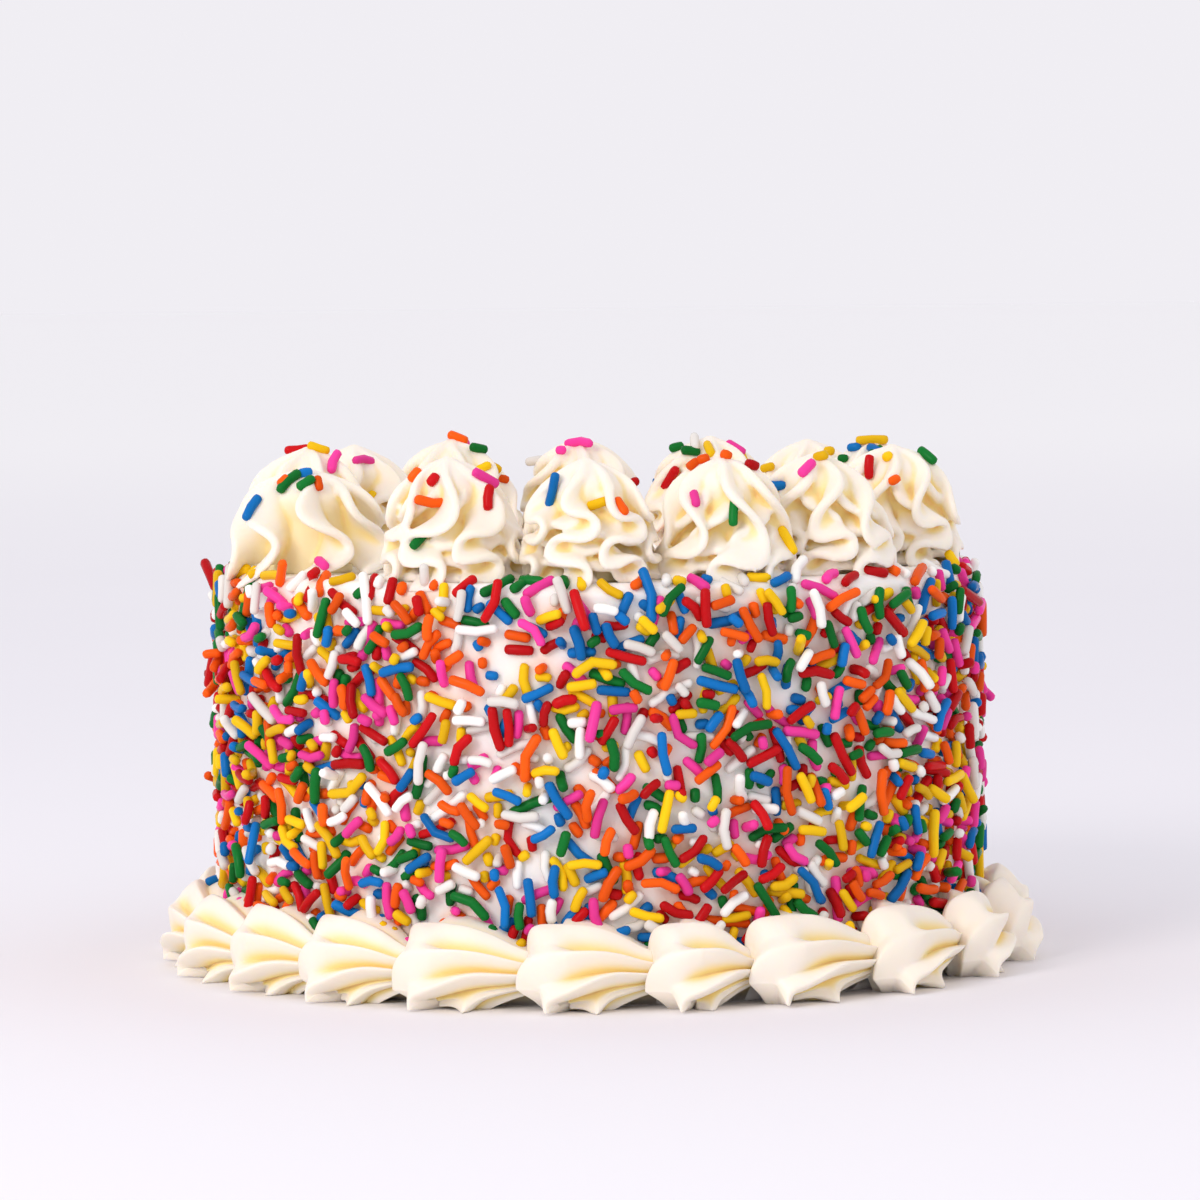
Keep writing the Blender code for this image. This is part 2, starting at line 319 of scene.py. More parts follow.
# %% [markdown]
# ## Sugar sprinkles
#
# Sprinkles are extruded sugar paste, cut while soft and polished with a thin glaze. Each has one
# flat bright colour, rounded ends, a soft shine and fine pits. Seven colours are mixed, with more
# orange, yellow and white than the rest. Every sprinkle gets its own shade from an attribute,
# because no two take the dye alike.


# %% Sprinkle materials
SUGARS = {
    "red": (0.560, 0.002, 0.005),
    "orange": (0.980, 0.108, 0.002),
    "yellow": (0.980, 0.560, 0.004),
    "green": (0.002, 0.168, 0.022),
    "blue": (0.002, 0.165, 0.510),
    "pink": (0.960, 0.050, 0.350),
    "white": (0.980, 0.925, 0.850),
}


def sugar(name, colour):
    """One sugar colour, from darker to lighter by each sprinkle's own shade, with fine pits."""
    paint = Paint(f"{name}_sugar")
    own = paint.attribute("own_shade")
    darker = tuple(0.72 * part for part in colour)
    lighter = tuple(min(1.0, 1.12 * part + 0.002) for part in colour)
    shade = paint.mix(own, darker, lighter)
    dusty = paint.mix(0.01 * paint.noise(1500, 2), shade, (0.9, 0.88, 0.86))
    grain = 0.6 * paint.noise(2600, 2) + 0.4 * paint.noise(900, 2)
    return paint.set(
        Base_Color=dusty,
        Roughness=0.17 + 0.14 * paint.noise(1200, 2),
        Specular_IOR_Level=0.07,
        Normal=paint.bump(grain, 0.35, 0.10 * MM),
    )


SUGAR = {name: sugar(name, colour) for name, colour in SUGARS.items()}
print("sugar colours:", list(SUGAR))

# %% [markdown]
# ## The iced cake
#
# The layers are stacked, covered with icing and scraped smooth with a straight edge while the
# turntable goes round. That leaves long shallow waves and a softly rounded top edge. The surface
# is a profile turned round the axis, with waves of a fraction of a millimetre added.


# %% The iced body
BODY_COLUMNS = 420
BODY_DRAW = np.random.default_rng(11)
SIDE_WAVE, SIDE_SCRAPE, SIDE_INSET = 0.16 * MM, 0.08 * MM, 0.10 * MM
RING_HEIGHT, RING_WIDTH, TOP_INSET = 0.12 * MM, 2.4 * MM, 0.15 * MM
FOOT_FADE = 6 * MM


def body_profile():
    """Radius and height of the cake's outline, from near the top's middle to near the
    underside's middle. The top edge is a quarter circle."""
    turn = np.linspace(math.pi / 2, 0, 14)
    edge = WALL_RADIUS - EDGE_ROUND + EDGE_ROUND * np.cos(turn)
    edge_height = WALL_HEIGHT - EDGE_ROUND + EDGE_ROUND * np.sin(turn)
    top = np.linspace(2 * MM, WALL_RADIUS - EDGE_ROUND, 60, endpoint=False)
    wall = np.linspace(WALL_HEIGHT - EDGE_ROUND, 0.0, 80)[1:]
    under = np.linspace(WALL_RADIUS, 2 * MM, 12)[1:]
    radius = np.concatenate([top, edge, np.full(len(wall), WALL_RADIUS), under])
    height = np.concatenate([np.full(len(top), WALL_HEIGHT), edge_height, wall, 0 * under])
    return radius, height


def iced_body():
    """The profile turned round the axis. The side is pushed in and out by soft waves, and the
    top has low rings where the palette knife went round."""
    radius, height = body_profile()
    angle = np.arange(BODY_COLUMNS) * 2 * math.pi / BODY_COLUMNS
    grid_angle, grid_radius = np.meshgrid(angle, radius)
    grid_height = np.broadcast_to(height[:, None], grid_radius.shape).copy()
    waves = soft_waves(grid_angle, grid_height, BODY_DRAW, 14, 9, SIDE_WAVE)
    scrape = soft_waves(0.2 * grid_angle, 4 * grid_height, BODY_DRAW, 8, 8, SIDE_SCRAPE)
    on_side = np.clip(grid_height / FOOT_FADE, 0, 1) * (grid_radius > WALL_RADIUS - EDGE_ROUND)
    grid_radius = grid_radius + (waves + scrape - SIDE_INSET) * on_side
    on_top = (grid_height > WALL_HEIGHT - 0.5 * MM) & (grid_radius < WALL_RADIUS - EDGE_ROUND)
    rings = np.sin(grid_radius / RING_WIDTH + 1.5 * np.sin(grid_angle)) * RING_HEIGHT
    grid_height = grid_height + (rings - TOP_INSET) * on_top
    points = round_the_cake(grid_radius, grid_angle, grid_height).reshape(-1, 3)
    rows = len(radius)
    centres = np.array([[0, 0, WALL_HEIGHT - TOP_INSET], [0, 0, 0]])
    first, last = np.arange(BODY_COLUMNS), (rows - 1) * BODY_COLUMNS + np.arange(BODY_COLUMNS)
    quads = grid_faces(rows, BODY_COLUMNS)[:, ::-1]
    caps = [fan_faces(first[::-1], len(points)), fan_faces(last, len(points) + 1)]
    return mesh_object("iced_body", np.vstack([points, centres]), [quads, *caps], SIDE)


body = iced_body()
print("iced body:", len(body.data.polygons), "faces")

# %% [markdown]
# ## Piped swirls
#
# A swirl is pressed straight down from a large star nozzle. Each tooth of the star leaves a thin
# fin of icing. Near the cake the icing piles up faster than the nozzle rises, so the fins buckle
# and fold to and fro like a ribbon. Then the nozzle lifts, the folds open into broad smooth
# petals, and a last pull draws the peak. The first values say how many teeth the nozzle has, how
# wide a swirl is at each level, and how long a strand of icing is between two folds.

# %% Swirl sizes
SWIRL_FINS = 7
PROFILE_LEVELS = np.array([0.0, 0.12, 0.30, 0.50, 0.66, 0.80, 0.92, 1.0])
PROFILE_WIDTHS = np.array([1.08, 1.07, 1.02, 0.97, 0.87, 0.67, 0.36, 0.06])
FIN_STEPS = 200
FIN_DEPTH_STEPS = 14
STRAND_PATH = 15.2 * MM
FIN_SAG = 3.5 * MM
INNER_SHARE, INNER_HEIGHT = 0.80, 0.90
WITHOUT_INNER = ("swirl_01",)
FOOT_SINK = 0.6 * MM
DROOP_FROM, DROOP = 77.5 * MM, 0.55
VOXEL = 0.50 * MM
print("fins of a swirl:", SWIRL_FINS, "outside and as many inside, strand:", STRAND_PATH / MM, "mm")

# %% [markdown]
# ### Soft curves
#
# Nothing piped has a sharp corner in its outline, so two helpers replace straight lines. One
# draws a smooth curve through a few values, and gives a swirl its outline. The other rises softly
# from 0 to 1 between two places, and fades one form into another.


# %% Soft curves
def smooth_between(stations, values, at):
    """A smooth curve through the values: cubic pieces whose slopes are those between the
    neighbours on both sides."""
    slopes = np.gradient(values, stations)
    i = np.clip(np.searchsorted(stations, at) - 1, 0, len(stations) - 2)
    width = stations[i + 1] - stations[i]
    t = np.clip((at - stations[i]) / width, 0, 1)
    start = (1 + 2 * t) * (1 - t) ** 2 * values[i] + t * (1 - t) ** 2 * width * slopes[i]
    end = t**2 * (3 - 2 * t) * values[i + 1] - t**2 * (1 - t) * width * slopes[i + 1]
    return start + end


def swirl_width(level):
    """Radius of a swirl at a share of its height, for a swirl of radius 1."""
    return smooth_between(PROFILE_LEVELS, PROFILE_WIDTHS, level)


def soft_step(low, high, value):
    """Rises from 0 at low to 1 at high, with level ends."""
    t = np.clip((value - low) / (high - low), 0, 1)
    return t * t * (3 - 2 * t)


print("width of a swirl at its middle:", round(float(swirl_width(0.5)), 2))

# %% [markdown]
# ### One fin
#
# A fin is a sheet between two curves: a straight root at the core, and a free edge that winds to
# and fro like a river. Such a winding curve is simple to write down: its heading swings as a sine
# of the distance along it. The root starts a little higher than the edge, because soft fins sag.
# The sheet gets its thickness from the direction square to it, with a rounded lip at the edge.

# %% Fins with a winding edge
EDGE_TOP, ROOT_TOP = 0.985, 0.93
ROOT_RADIUS = 0.22
THINNEST = 0.2 * MM


def winding_edge(height, style, phase):
    """Sideways distance and height along a fin's free edge. Its heading swings from side to
    side, by about a right angle low down where the fin folds over itself. The last strand is
    longer and swings less: that is the petal that sweeps up to the peak."""
    strands = style["folds"] + 1
    along = np.linspace(0, strands, FIN_STEPS)
    petal = soft_step(style["folds"] - 0.55, style["folds"] + 0.35, along)
    swing = style["swing"] + (style["petal_swing"] - style["swing"]) * petal
    heading = swing * np.sin(math.pi * along + phase)
    path = STRAND_PATH * style["size"] * (1 + (style["petal_length"] - 1) * petal)
    step = path * strands / FIN_STEPS
    sideways = np.cumsum(np.sin(heading) * step)
    upward = np.cumsum(np.cos(heading) * step)
    folded = along < style["folds"]
    sideways -= (sideways[folded].max() + sideways[folded].min()) / 2
    upward -= upward[0]
    return sideways, EDGE_TOP * height * upward / upward[-1]


def fin_loops(centre, radius, height, angle, style, phase):
    """Closed loops of points, one for each step up a fin. A loop runs from the core out to
    the free edge along one face of the sheet and back along the other."""
    sideways, edge_height = winding_edge(height, style, phase)
    level = np.clip(edge_height / height, 0, 1)
    edge_radius = radius * swirl_width(level)
    root_height = np.linspace(FIN_SAG, ROOT_TOP * height, FIN_STEPS)
    root_radius = ROOT_RADIUS * radius * swirl_width(root_height / height)
    out = np.linspace(0, 1, FIN_DEPTH_STEPS) ** 0.8
    bend = out**1.5
    reach = root_radius[:, None] + (edge_radius - root_radius)[:, None] * out
    lift = root_height[:, None] + (edge_height - root_height)[:, None] * bend
    turned = angle + style["twist"] * lift / height
    turned = turned + (sideways / radius)[:, None] * bend
    middle = np.stack([reach * np.cos(turned), reach * np.sin(turned), lift], axis=-1)
    across = np.cross(np.gradient(middle, axis=0), np.gradient(middle, axis=1))
    across /= np.maximum(np.linalg.norm(across, axis=-1, keepdims=True), 1e-12)
    thick = style["lip"] + (style["petal_lip"] - style["lip"]) * soft_step(0.5, 0.9, level)
    thick = np.minimum(thick, 0.9 * edge_radius + THINNEST)
    from_edge = (edge_radius - root_radius)[:, None] * (1 - out)
    half = thick[:, None] / 2
    rounding = np.sqrt(np.clip(1 - (1 - from_edge / half).clip(0, 1) ** 2, 0, 1))
    swell = 1 + style["swell"] * np.sin(math.pi * (1 - out))
    offset = across * (half * swell * (0.08 + 0.92 * rounding))[..., None]
    loops = np.concatenate([middle + offset, (middle - offset)[:, ::-1]], axis=1)
    loops[..., 2] = np.maximum(loops[..., 2], 0)
    return loops + centre


print("points of one fin:", FIN_STEPS * 2 * FIN_DEPTH_STEPS)

# %% [markdown]
# ### One skin
#
# Real icing is one soft mass, not fourteen sheets. A voxel remesh fills the inside of all the
# closed shapes with small cubes and wraps them in a single skin, which closes the gaps at the
# core and rounds the creases. Its cubes are half a millimetre wide, a quarter of a fin's
# thickness, so no fin is lost.


# %% Fusing fins and core
def tube_mesh(loops, first):
    """Points and faces of loops joined into a closed tube with flat ends."""
    rows, columns, _ = loops.shape
    points = loops.reshape(-1, 3)
    ends = np.stack([loops[0].mean(axis=0), loops[-1].mean(axis=0)])
    last = (rows - 1) * columns + np.arange(columns)
    quads = grid_faces(rows, columns, first)
    caps = [
        first + fan_faces(np.arange(columns), len(points)),
        first + fan_faces(last[::-1], len(points) + 1),
    ]
    return np.vstack([points, ends]), quads, np.vstack(caps)


def core_loops(centre, radius, height, style):
    """The solid heart of the swirl: a turned shape a little inside the fins."""
    level = np.linspace(0, 1, 40)
    turn = np.linspace(0, 2 * math.pi, 48, endpoint=False)
    fill = style["core"] + (0.80 - style["core"]) * soft_step(0.45, 0.95, level)
    wide = radius * swirl_width(level) * fill
    ring = np.stack([np.cos(turn), np.sin(turn), 0 * turn], axis=-1)
    loops = wide[:, None, None] * ring
    loops[..., 2] += (level * height)[:, None]
    return loops + centre


def fused(name, parts, material, voxel, smoothing):
    """Fuses closed tubes into one skin with a voxel remesh, and softens it."""
    points, quads, triangles, first = [], [], [], 0
    for loops in parts:
        some_points, some_quads, some_triangles = tube_mesh(loops, first)
        points.append(some_points)
        quads.append(some_quads)
        triangles.append(some_triangles)
        first += len(some_points)
    face_sets = [np.vstack(quads), np.vstack(triangles)]
    obj = mesh_object(name, np.vstack(points), face_sets, material)
    remesh = obj.modifiers.new("fuse", "REMESH")
    remesh.mode = "VOXEL"
    remesh.voxel_size = voxel
    remesh.use_smooth_shade = True
    soften = obj.modifiers.new("soften", "SMOOTH")
    soften.factor = 0.5
    soften.iterations = smoothing
    graph = bpy.context.evaluated_depsgraph_get()
    mesh = bpy.data.meshes.new_from_object(obj.evaluated_get(graph))
    obj.modifiers.clear()
    obj.data = mesh
    mesh.name = name
    return obj


print("voxels:", VOXEL / MM, "mm")

# %% [markdown]
# ### The depth of the folds
#
# Icing looks yellow in a fold because light bounces there from cream to cream. The material needs
# to know how deep each point lies. Smoothing a mesh many times lifts the points of a hollow and
# lowers those of a ridge, so the distance that a point moves along its normal is a good measure.
# It is kept on the mesh as an attribute.


# %% Depth of the folds
DEPTH_ROUNDS = 30


def get_points(obj):
    """The points of an object's mesh as an array."""
    points = np.empty(len(obj.data.vertices) * 3, np.float32)
    obj.data.vertices.foreach_get("co", points)
    return points.reshape(-1, 3).astype(np.float64)


def set_points(obj, points):
    """Moves the points of an object's mesh."""
    obj.data.vertices.foreach_set("co", points.astype(np.float32).ravel())
    obj.data.update()


def set_attribute(obj, name, values):
    """Keeps one value for each point on the mesh, where a material can read it."""
    layer = obj.data.attributes.new(name, "FLOAT", "POINT")
    layer.data.foreach_set("value", values.astype(np.float32))


def neighbour_mean(values, edges, count):
    """The mean over the neighbours of each point, by adding up both ends of every edge."""
    first, second = edges.T
    share = 1 / np.maximum(np.bincount(edges.ravel(), minlength=len(values)), 1)
    total = np.zeros_like(values)
    for _ in range(count):
        for axis in range(values.shape[1]):
            total[:, axis] = np.bincount(first, values[second, axis], len(values))
            total[:, axis] += np.bincount(second, values[first, axis], len(values))
        values = 0.5 * values + 0.5 * total * share[:, None]
    return values


def fold_depth(obj, reach):
    """How deep each point lies in a fold: how far outside the skin its smoothed place is, as
    a share of reach."""
    mesh = obj.data
    edges = np.empty(len(mesh.edges) * 2, np.int32)
    mesh.edges.foreach_get("vertices", edges)
    normals = np.empty(len(mesh.vertices) * 3, np.float32)
    mesh.vertex_normals.foreach_get("vector", normals)
    points = get_points(obj)
    smooth = neighbour_mean(points, edges.reshape(-1, 2), DEPTH_ROUNDS)
    outside = np.einsum("ij,ij->i", smooth - points, normals.reshape(-1, 3))
    outside = neighbour_mean(outside[:, None], edges.reshape(-1, 2), 4)[:, 0]
    return np.clip(outside / reach, 0, 1)


print("rounds of smoothing behind the depth:", DEPTH_ROUNDS)

# %% [markdown]
# ### Habits
#
# No two swirls fold alike, because the hand rises at its own pace each time. A style holds the
# numbers that differ: folds, swing, lips, twist and lean. Those at the back are drawn at random,
# with a seed so that each run makes the same cake, and the six at the front have habits that were
# read off the photograph.


# %% Swirl styles
def swirl_style(draw):
    """How one swirl folds: the number of folds under the petal, how far they swing, and how
    thick the fins are."""
    return {
        "folds": draw.uniform(2.5, 3.1),
        "swing": math.radians(draw.uniform(102, 109)),
        "petal_swing": math.radians(draw.uniform(42, 62)),
        "petal_length": draw.uniform(1.10, 1.30),
        "size": 1.0,
        "lip": draw.uniform(2.0, 2.3) * MM,
        "petal_lip": draw.uniform(2.7, 3.3) * MM,
        "swell": -0.35,
        "twist": math.radians(draw.uniform(10, 40)),
        "core": 0.50,
        "phase": math.pi * (draw.integers(2) + 0.5) + draw.uniform(-0.5, 0.5),
        "start": draw.uniform(0, 360),
        "lean": draw.uniform(-0.10, 0.10, 2),
    }


# The swirls at the front have their own habits: the big one on the left has one slow fold and
# broad petals, the fourth has long petals above few folds, and the third is folded to the top.
OWN_STYLES = {
    "swirl_01": {
        "folds": 1.1, "swing": math.radians(70), "size": 1.35, "petal_length": 1.4,
        "petal_swing": math.radians(60), "phase": 1.2, "start": 280, "core": 0.50,
    },
    "swirl_02": {"folds": 2.4, "petal_length": 1.25, "size": 1.08, "phase": 1.2, "start": 290},
    "swirl_03": {"folds": 3.2, "petal_length": 1.05, "phase": 1.9, "start": 244},
    "swirl_04": {"folds": 1.8, "petal_length": 1.6, "size": 1.1, "phase": 4.2, "start": 275},
    "swirl_05": {"folds": 2.7, "petal_length": 1.3, "phase": 4.5, "start": 264, "lean": (-0.2, 0)},
    "swirl_06": {"folds": 2.6, "petal_length": 1.3, "phase": 4.3, "start": 250},
}
print("swirls with habits of their own:", len(OWN_STYLES))

# %% [markdown]
# ### Piping them
#
# Seven fins make the outside of a swirl, and seven smaller ones fill the gaps behind them. The
# big first swirl goes without the smaller ones, because its broad petals fill the gaps. The fused
# swirl leans a little, and the fins that reach past the top edge droop over it. A point far
# inside the outline counts as deep as well, since a wide pocket glows as a narrow fold does.

# %% The thirteen swirls
INNER_PHASE, INNER_FOLDS = 2.2, 0.6
BOX_SPREAD = 1.05
POCKET = 0.42
FOLD_REACH = 0.5 * MM


def make_swirl(name, draw):
    """One swirl that fills its solid's box: a core and a ring of fins, fused, leant and
    drooped over the edge, with the depth of its folds as an attribute."""
    low, high = (np.array(corner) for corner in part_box(name))
    low[2] -= FOOT_SINK
    centre = np.array([*(box_centre(name)[:2]), low[2]])
    radius = 0.25 * (high[0] - low[0] + high[1] - low[1]) * BOX_SPREAD
    height = high[2] - low[2]
    style = swirl_style(draw) | OWN_STYLES.get(name, {})
    parts = [core_loops(centre, radius, height, style)]
    for fin in range(2 * SWIRL_FINS):
        inner = fin >= SWIRL_FINS
        place = fin + 0.5 * inner + draw.uniform(-0.07, 0.07)
        angle = math.radians(style["start"]) + place * 2 * math.pi / SWIRL_FINS
        phase = style["phase"] + draw.uniform(-0.35, 0.35) + INNER_PHASE * inner
        folds = style["folds"] + draw.uniform(-0.15, 0.15) + INNER_FOLDS * inner
        own = dict(style, folds=folds)
        own["swing"] = style["swing"] * draw.uniform(0.94, 1.05)
        if inner and name in WITHOUT_INNER:
            continue
        wide, tall = (INNER_SHARE, INNER_HEIGHT) if inner else (1.0, 1.0)
        parts.append(fin_loops(centre, radius * wide, height * tall, angle, own, phase))
    obj = fused(name + "_icing", parts, PIPED, VOXEL, 2)
    points = get_points(obj)
    level = np.clip((points[:, 2] - centre[2]) / height, 0, 1)
    lean = radius * np.array([*style["lean"], 0])
    points += lean * soft_step(0.2, 1.0, level)[:, None]
    points[:, 2] = np.clip(points[:, 2], low[2], high[2])
    over = np.maximum(np.hypot(points[:, 0], points[:, 1]) - DROOP_FROM, 0)
    points[:, 2] -= DROOP * over * (1 - soft_step(0.05, 0.5, level))
    set_points(obj, points)
    axis = centre + lean * soft_step(0.2, 1.0, level)[:, None]
    reach = np.hypot(points[:, 0] - axis[:, 0], points[:, 1] - axis[:, 1])
    inside = 1 - reach / (radius * np.maximum(swirl_width(level), 0.15))
    pocket = POCKET * soft_step(0.12, 0.5, inside) * (1 - soft_step(0.75, 0.95, level))
    set_attribute(obj, "fold_depth", np.maximum(fold_depth(obj, FOLD_REACH), pocket))
    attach(obj, "root")
    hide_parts(name)
    return obj


SWIRL_DRAW = np.random.default_rng(21)
swirls = [make_swirl(name, SWIRL_DRAW) for name in SWIRLS]
print("swirl faces:", [len(obj.data.polygons) for obj in swirls])

# %% [markdown]
# ## The scroll border
#
# The border is piped with an open star nozzle held at a slant. The bag is squeezed until the
# icing swells and climbs over itself, then drawn along while the pressure stops, so each scroll
# has a blunt head, a hump and a narrow tail that goes under the next head. The teeth of the
# nozzle leave sharp ridges that run from the tail over the hump and curl down round the head to
# end in small points on the ground. The values below give the ridges and creases, how the scroll
# tapers, and the lower edge of its head.

# %% Scroll sizes, the same as the solids have
SCROLL_STARTS = (-91.5, -75.0, -58.0, -43.5, -28.5, -11.0, 5.5, 19.0, 38.0, 56.5)
BACK_SCROLLS = 12
ARC_RADIUS = 87.0 * MM
USUAL_LENGTH = 25 * MM
RIDGES = np.array([105.0, 63.0, 21.0, -21.0, -63.0, -105.0])
RIDGE_SIZES = np.array([1.00, 0.94, 0.97, 1.03, 1.04, 1.00])
CREASES = np.array([0.74, 0.79, 0.64, 0.60, 0.50, 0.70, 0.70])
CREASE_FROM = np.array([0.0, -9.0, 6.0, 5.0, 2.0, 0.0, 0.0]) * MM
CREASE_FULL = np.array([1.0, 5.0, 14.0, 15.0, 8.0, 1.0, 1.0]) * MM
HEAD_CREASES = np.array([0.90, 0.90, 0.93, 0.83, 0.70, 0.70, 0.70])
RIDGE_LEAN = 8.0
ROLL = 24.0
ROLL_FROM, ROLL_TO = 5.0 * MM, 21.0 * MM
HALF_WIDTH, HALF_HEIGHT = 12.0 * MM, 13.0 * MM
CORE_OUT, CORE_UP = 4.5 * MM, 6.5 * MM
PIVOT = 10.5 * MM
TAIL_PLACES = np.array([0.0, 0.35, 0.70, 1.0, 1.25])
TAIL_SIZES = np.array([1.0, 0.93, 0.77, 0.56, 0.42])
ROUND_STEPS, HEAD_STEPS, TAIL_STEPS = 136, 40, 34
TAIL_TUCK = 3.5 * MM
# Share by which the painted bounced light in the creases is weaker on a scroll's top.
CREST = 0.16
TOP_PALER = 0.6
INTO_WALL = 0.2 * MM
SECOND_TOOTH, TOOTH_WIDTH = 15.8 * MM, 1.7 * MM
# The head's lower edge: angle round the scroll, then place along, distance from the wall and
# height, in millimetres, and how square the head is above that place (0.5 is square, 1 round).
HEAD_EDGE = np.array([
    (-126, 10.5, 1.0, 0.0, 0.5),
    (-105, 10.5, 3.0, 0.0, 0.5),
    (-84, 10.5, 5.0, 0.0, 0.6),
    (-63, 10.5, 8.0, 0.8, 0.6),
    (-44, 10.2, 11.0, 3.2, 0.7),
    (-30, 8.2, 14.0, 2.4, 0.7),
    (-21, 6.4, 15.8, 0.0, 0.6),
    (-14, 5.9, 14.6, 2.2, 0.6),
    (-2, 5.2, 12.6, 4.6, 0.65),
    (12, 1.6, 11.2, 4.6, 0.75),
    (21, 0.2, 10.4, 4.4, 0.8),
    (32, 2.0, 8.6, 6.5, 0.65),
    (48, 2.4, 6.4, 7.5, 0.50),
    (63, 1.6, 4.8, 8.5, 0.42),
    (80, 2.6, 3.6, 9.0, 0.42),
    (89, 8.0, 2.4, 10.0, 0.42),
    (105, 8.9, 1.4, 10.0, 0.40),
    (126, 10.2, 0.0, 9.0, 0.45),
])
print("ridges of a scroll:", len(RIDGES), "scrolls at the front:", len(SCROLL_STARTS))

# %% [markdown]
# ### Ridges
#
# A star nozzle gives the icing a star for a section. Here the reach of the icing depends on the
# angle round the scroll: it falls in a straight slope from each ridge to the creases beside it.
# The creases are nearly filled at the head and open towards the tail.


# %% Ridges round a scroll
def scroll_starts():
    """Angles where the scrolls start: those at the front as given, the rest evenly between."""
    last, end = SCROLL_STARTS[-1], SCROLL_STARTS[0] + 360
    step = (end - last) / (BACK_SCROLLS + 1)
    back = [last + (i + 1) * step for i in range(BACK_SCROLLS)]
    return np.radians([*SCROLL_STARTS, *back, end])


def ridge_reach(angle, along, sizes):
    """How far the icing reaches at each angle round a scroll. It falls in a straight slope
    from every ridge to the crease on each side, and the ridge itself is slightly rounded. At
    the head the creases are nearly filled, and they open towards the tail."""
    spacing = RIDGES[0] - RIDGES[1]
    place = (RIDGES[0] - angle) / spacing
    nearest = np.clip(np.round(place), 0, len(RIDGES) - 1).astype(int)
    side = 2 * (place - nearest)
    which = np.clip(nearest + (side > 0), 0, len(CREASES) - 1)
    opened = soft_step(CREASE_FROM[which], CREASE_FULL[which], along)
    crease = HEAD_CREASES[which] + (CREASES[which] - HEAD_CREASES[which]) * opened
    slope = np.sqrt(side**2 + CREST**2) - CREST
    slope = np.clip(slope / (math.hypot(1, CREST) - CREST), 0, 1)
    ridge = 1 - slope**0.92
    second = np.exp(-np.abs(along - SECOND_TOOTH) / TOOTH_WIDTH)
    below = 1 - 0.42 * soft_step(42, 58, -angle) * (1 - second)
    return (crease + (sizes[nearest] - crease) * ridge) * below, ridge, opened


print("first and last start:", np.degrees(scroll_starts())[[0, -1]].round(1))

# %% [markdown]
# ### The grid of a scroll
#
# One scroll is a grid with two parameters. The first goes along it, up over the head and down to
# the tail. The second goes round it, from the wall over the top and down to the ground, and its
# reach rises to a ridge at each tooth. A last column lies inside the wall, so the scroll is a
# closed shape.


# %% The grid of a scroll
def head_edge(angle, draw):
    """The head's lower edge at each angle round the scroll, softened between its given points:
    the place along, the distance from the wall, the height, and the power of the curve above."""
    shift = draw.uniform(-3, 3)
    soften = np.array([1, 2, 3, 2, 1]) / 9
    edge = [np.interp(angle + shift, HEAD_EDGE[:, 0], HEAD_EDGE[:, i]) for i in range(1, 5)]
    edge = [np.convolve(np.pad(value, 2, "edge"), soften, "valid") for value in edge]
    stretch = draw.uniform(0.92, 1.06)
    along, away, up = (value * MM for value in edge[:3])
    along = PIVOT - (PIVOT - along) * stretch
    return along, away, up * draw.uniform(0.75, 1.1), edge[3]


def ridged_section(angle, along, whole, draw):
    """Distance from the wall and height of each point, with its ridge and how far the crease
    beside it is open. A point lies on an oval round the core, as far out as the ridges reach,
    and is cut off at the wall and the ground. Towards the tail the oval shrinks, and its lower
    ridges roll upwards, as they do when the bag turns in the hand."""
    sizes = RIDGE_SIZES * draw.uniform(0.96, 1.03, len(RIDGES))
    scale = whole / USUAL_LENGTH
    reach, ridge, opened = ridge_reach(angle + 0 * along, along / scale, sizes)
    place = np.clip((along - PIVOT) / (whole - PIVOT), 0, TAIL_PLACES[-1])
    size = smooth_between(TAIL_PLACES, TAIL_SIZES, place)
    size *= 1 + 0.012 * np.sin(along / (3.1 * MM) + draw.uniform(0, 6))
    low = 1 - soft_step(-40, 45, angle)
    roll = draw.uniform(0.85, 1.15) * ROLL * soft_step(ROLL_FROM, ROLL_TO, along) * low
    turned = np.radians(angle + RIDGE_LEAN * ridge + roll)
    across = size * reach * HALF_WIDTH * np.cos(turned)
    rise = size * reach * HALF_HEIGHT * np.sin(turned)
    ground_cut = np.where(CORE_UP + rise < 0, CORE_UP / np.maximum(-rise, 1e-9), 1.0)
    wall_cut = np.where(CORE_OUT + across < 0, CORE_OUT / np.maximum(-across, 1e-9), 1.0)
    cut = np.minimum(ground_cut, wall_cut)
    return CORE_OUT + across * cut, CORE_UP + rise * cut, ridge, opened


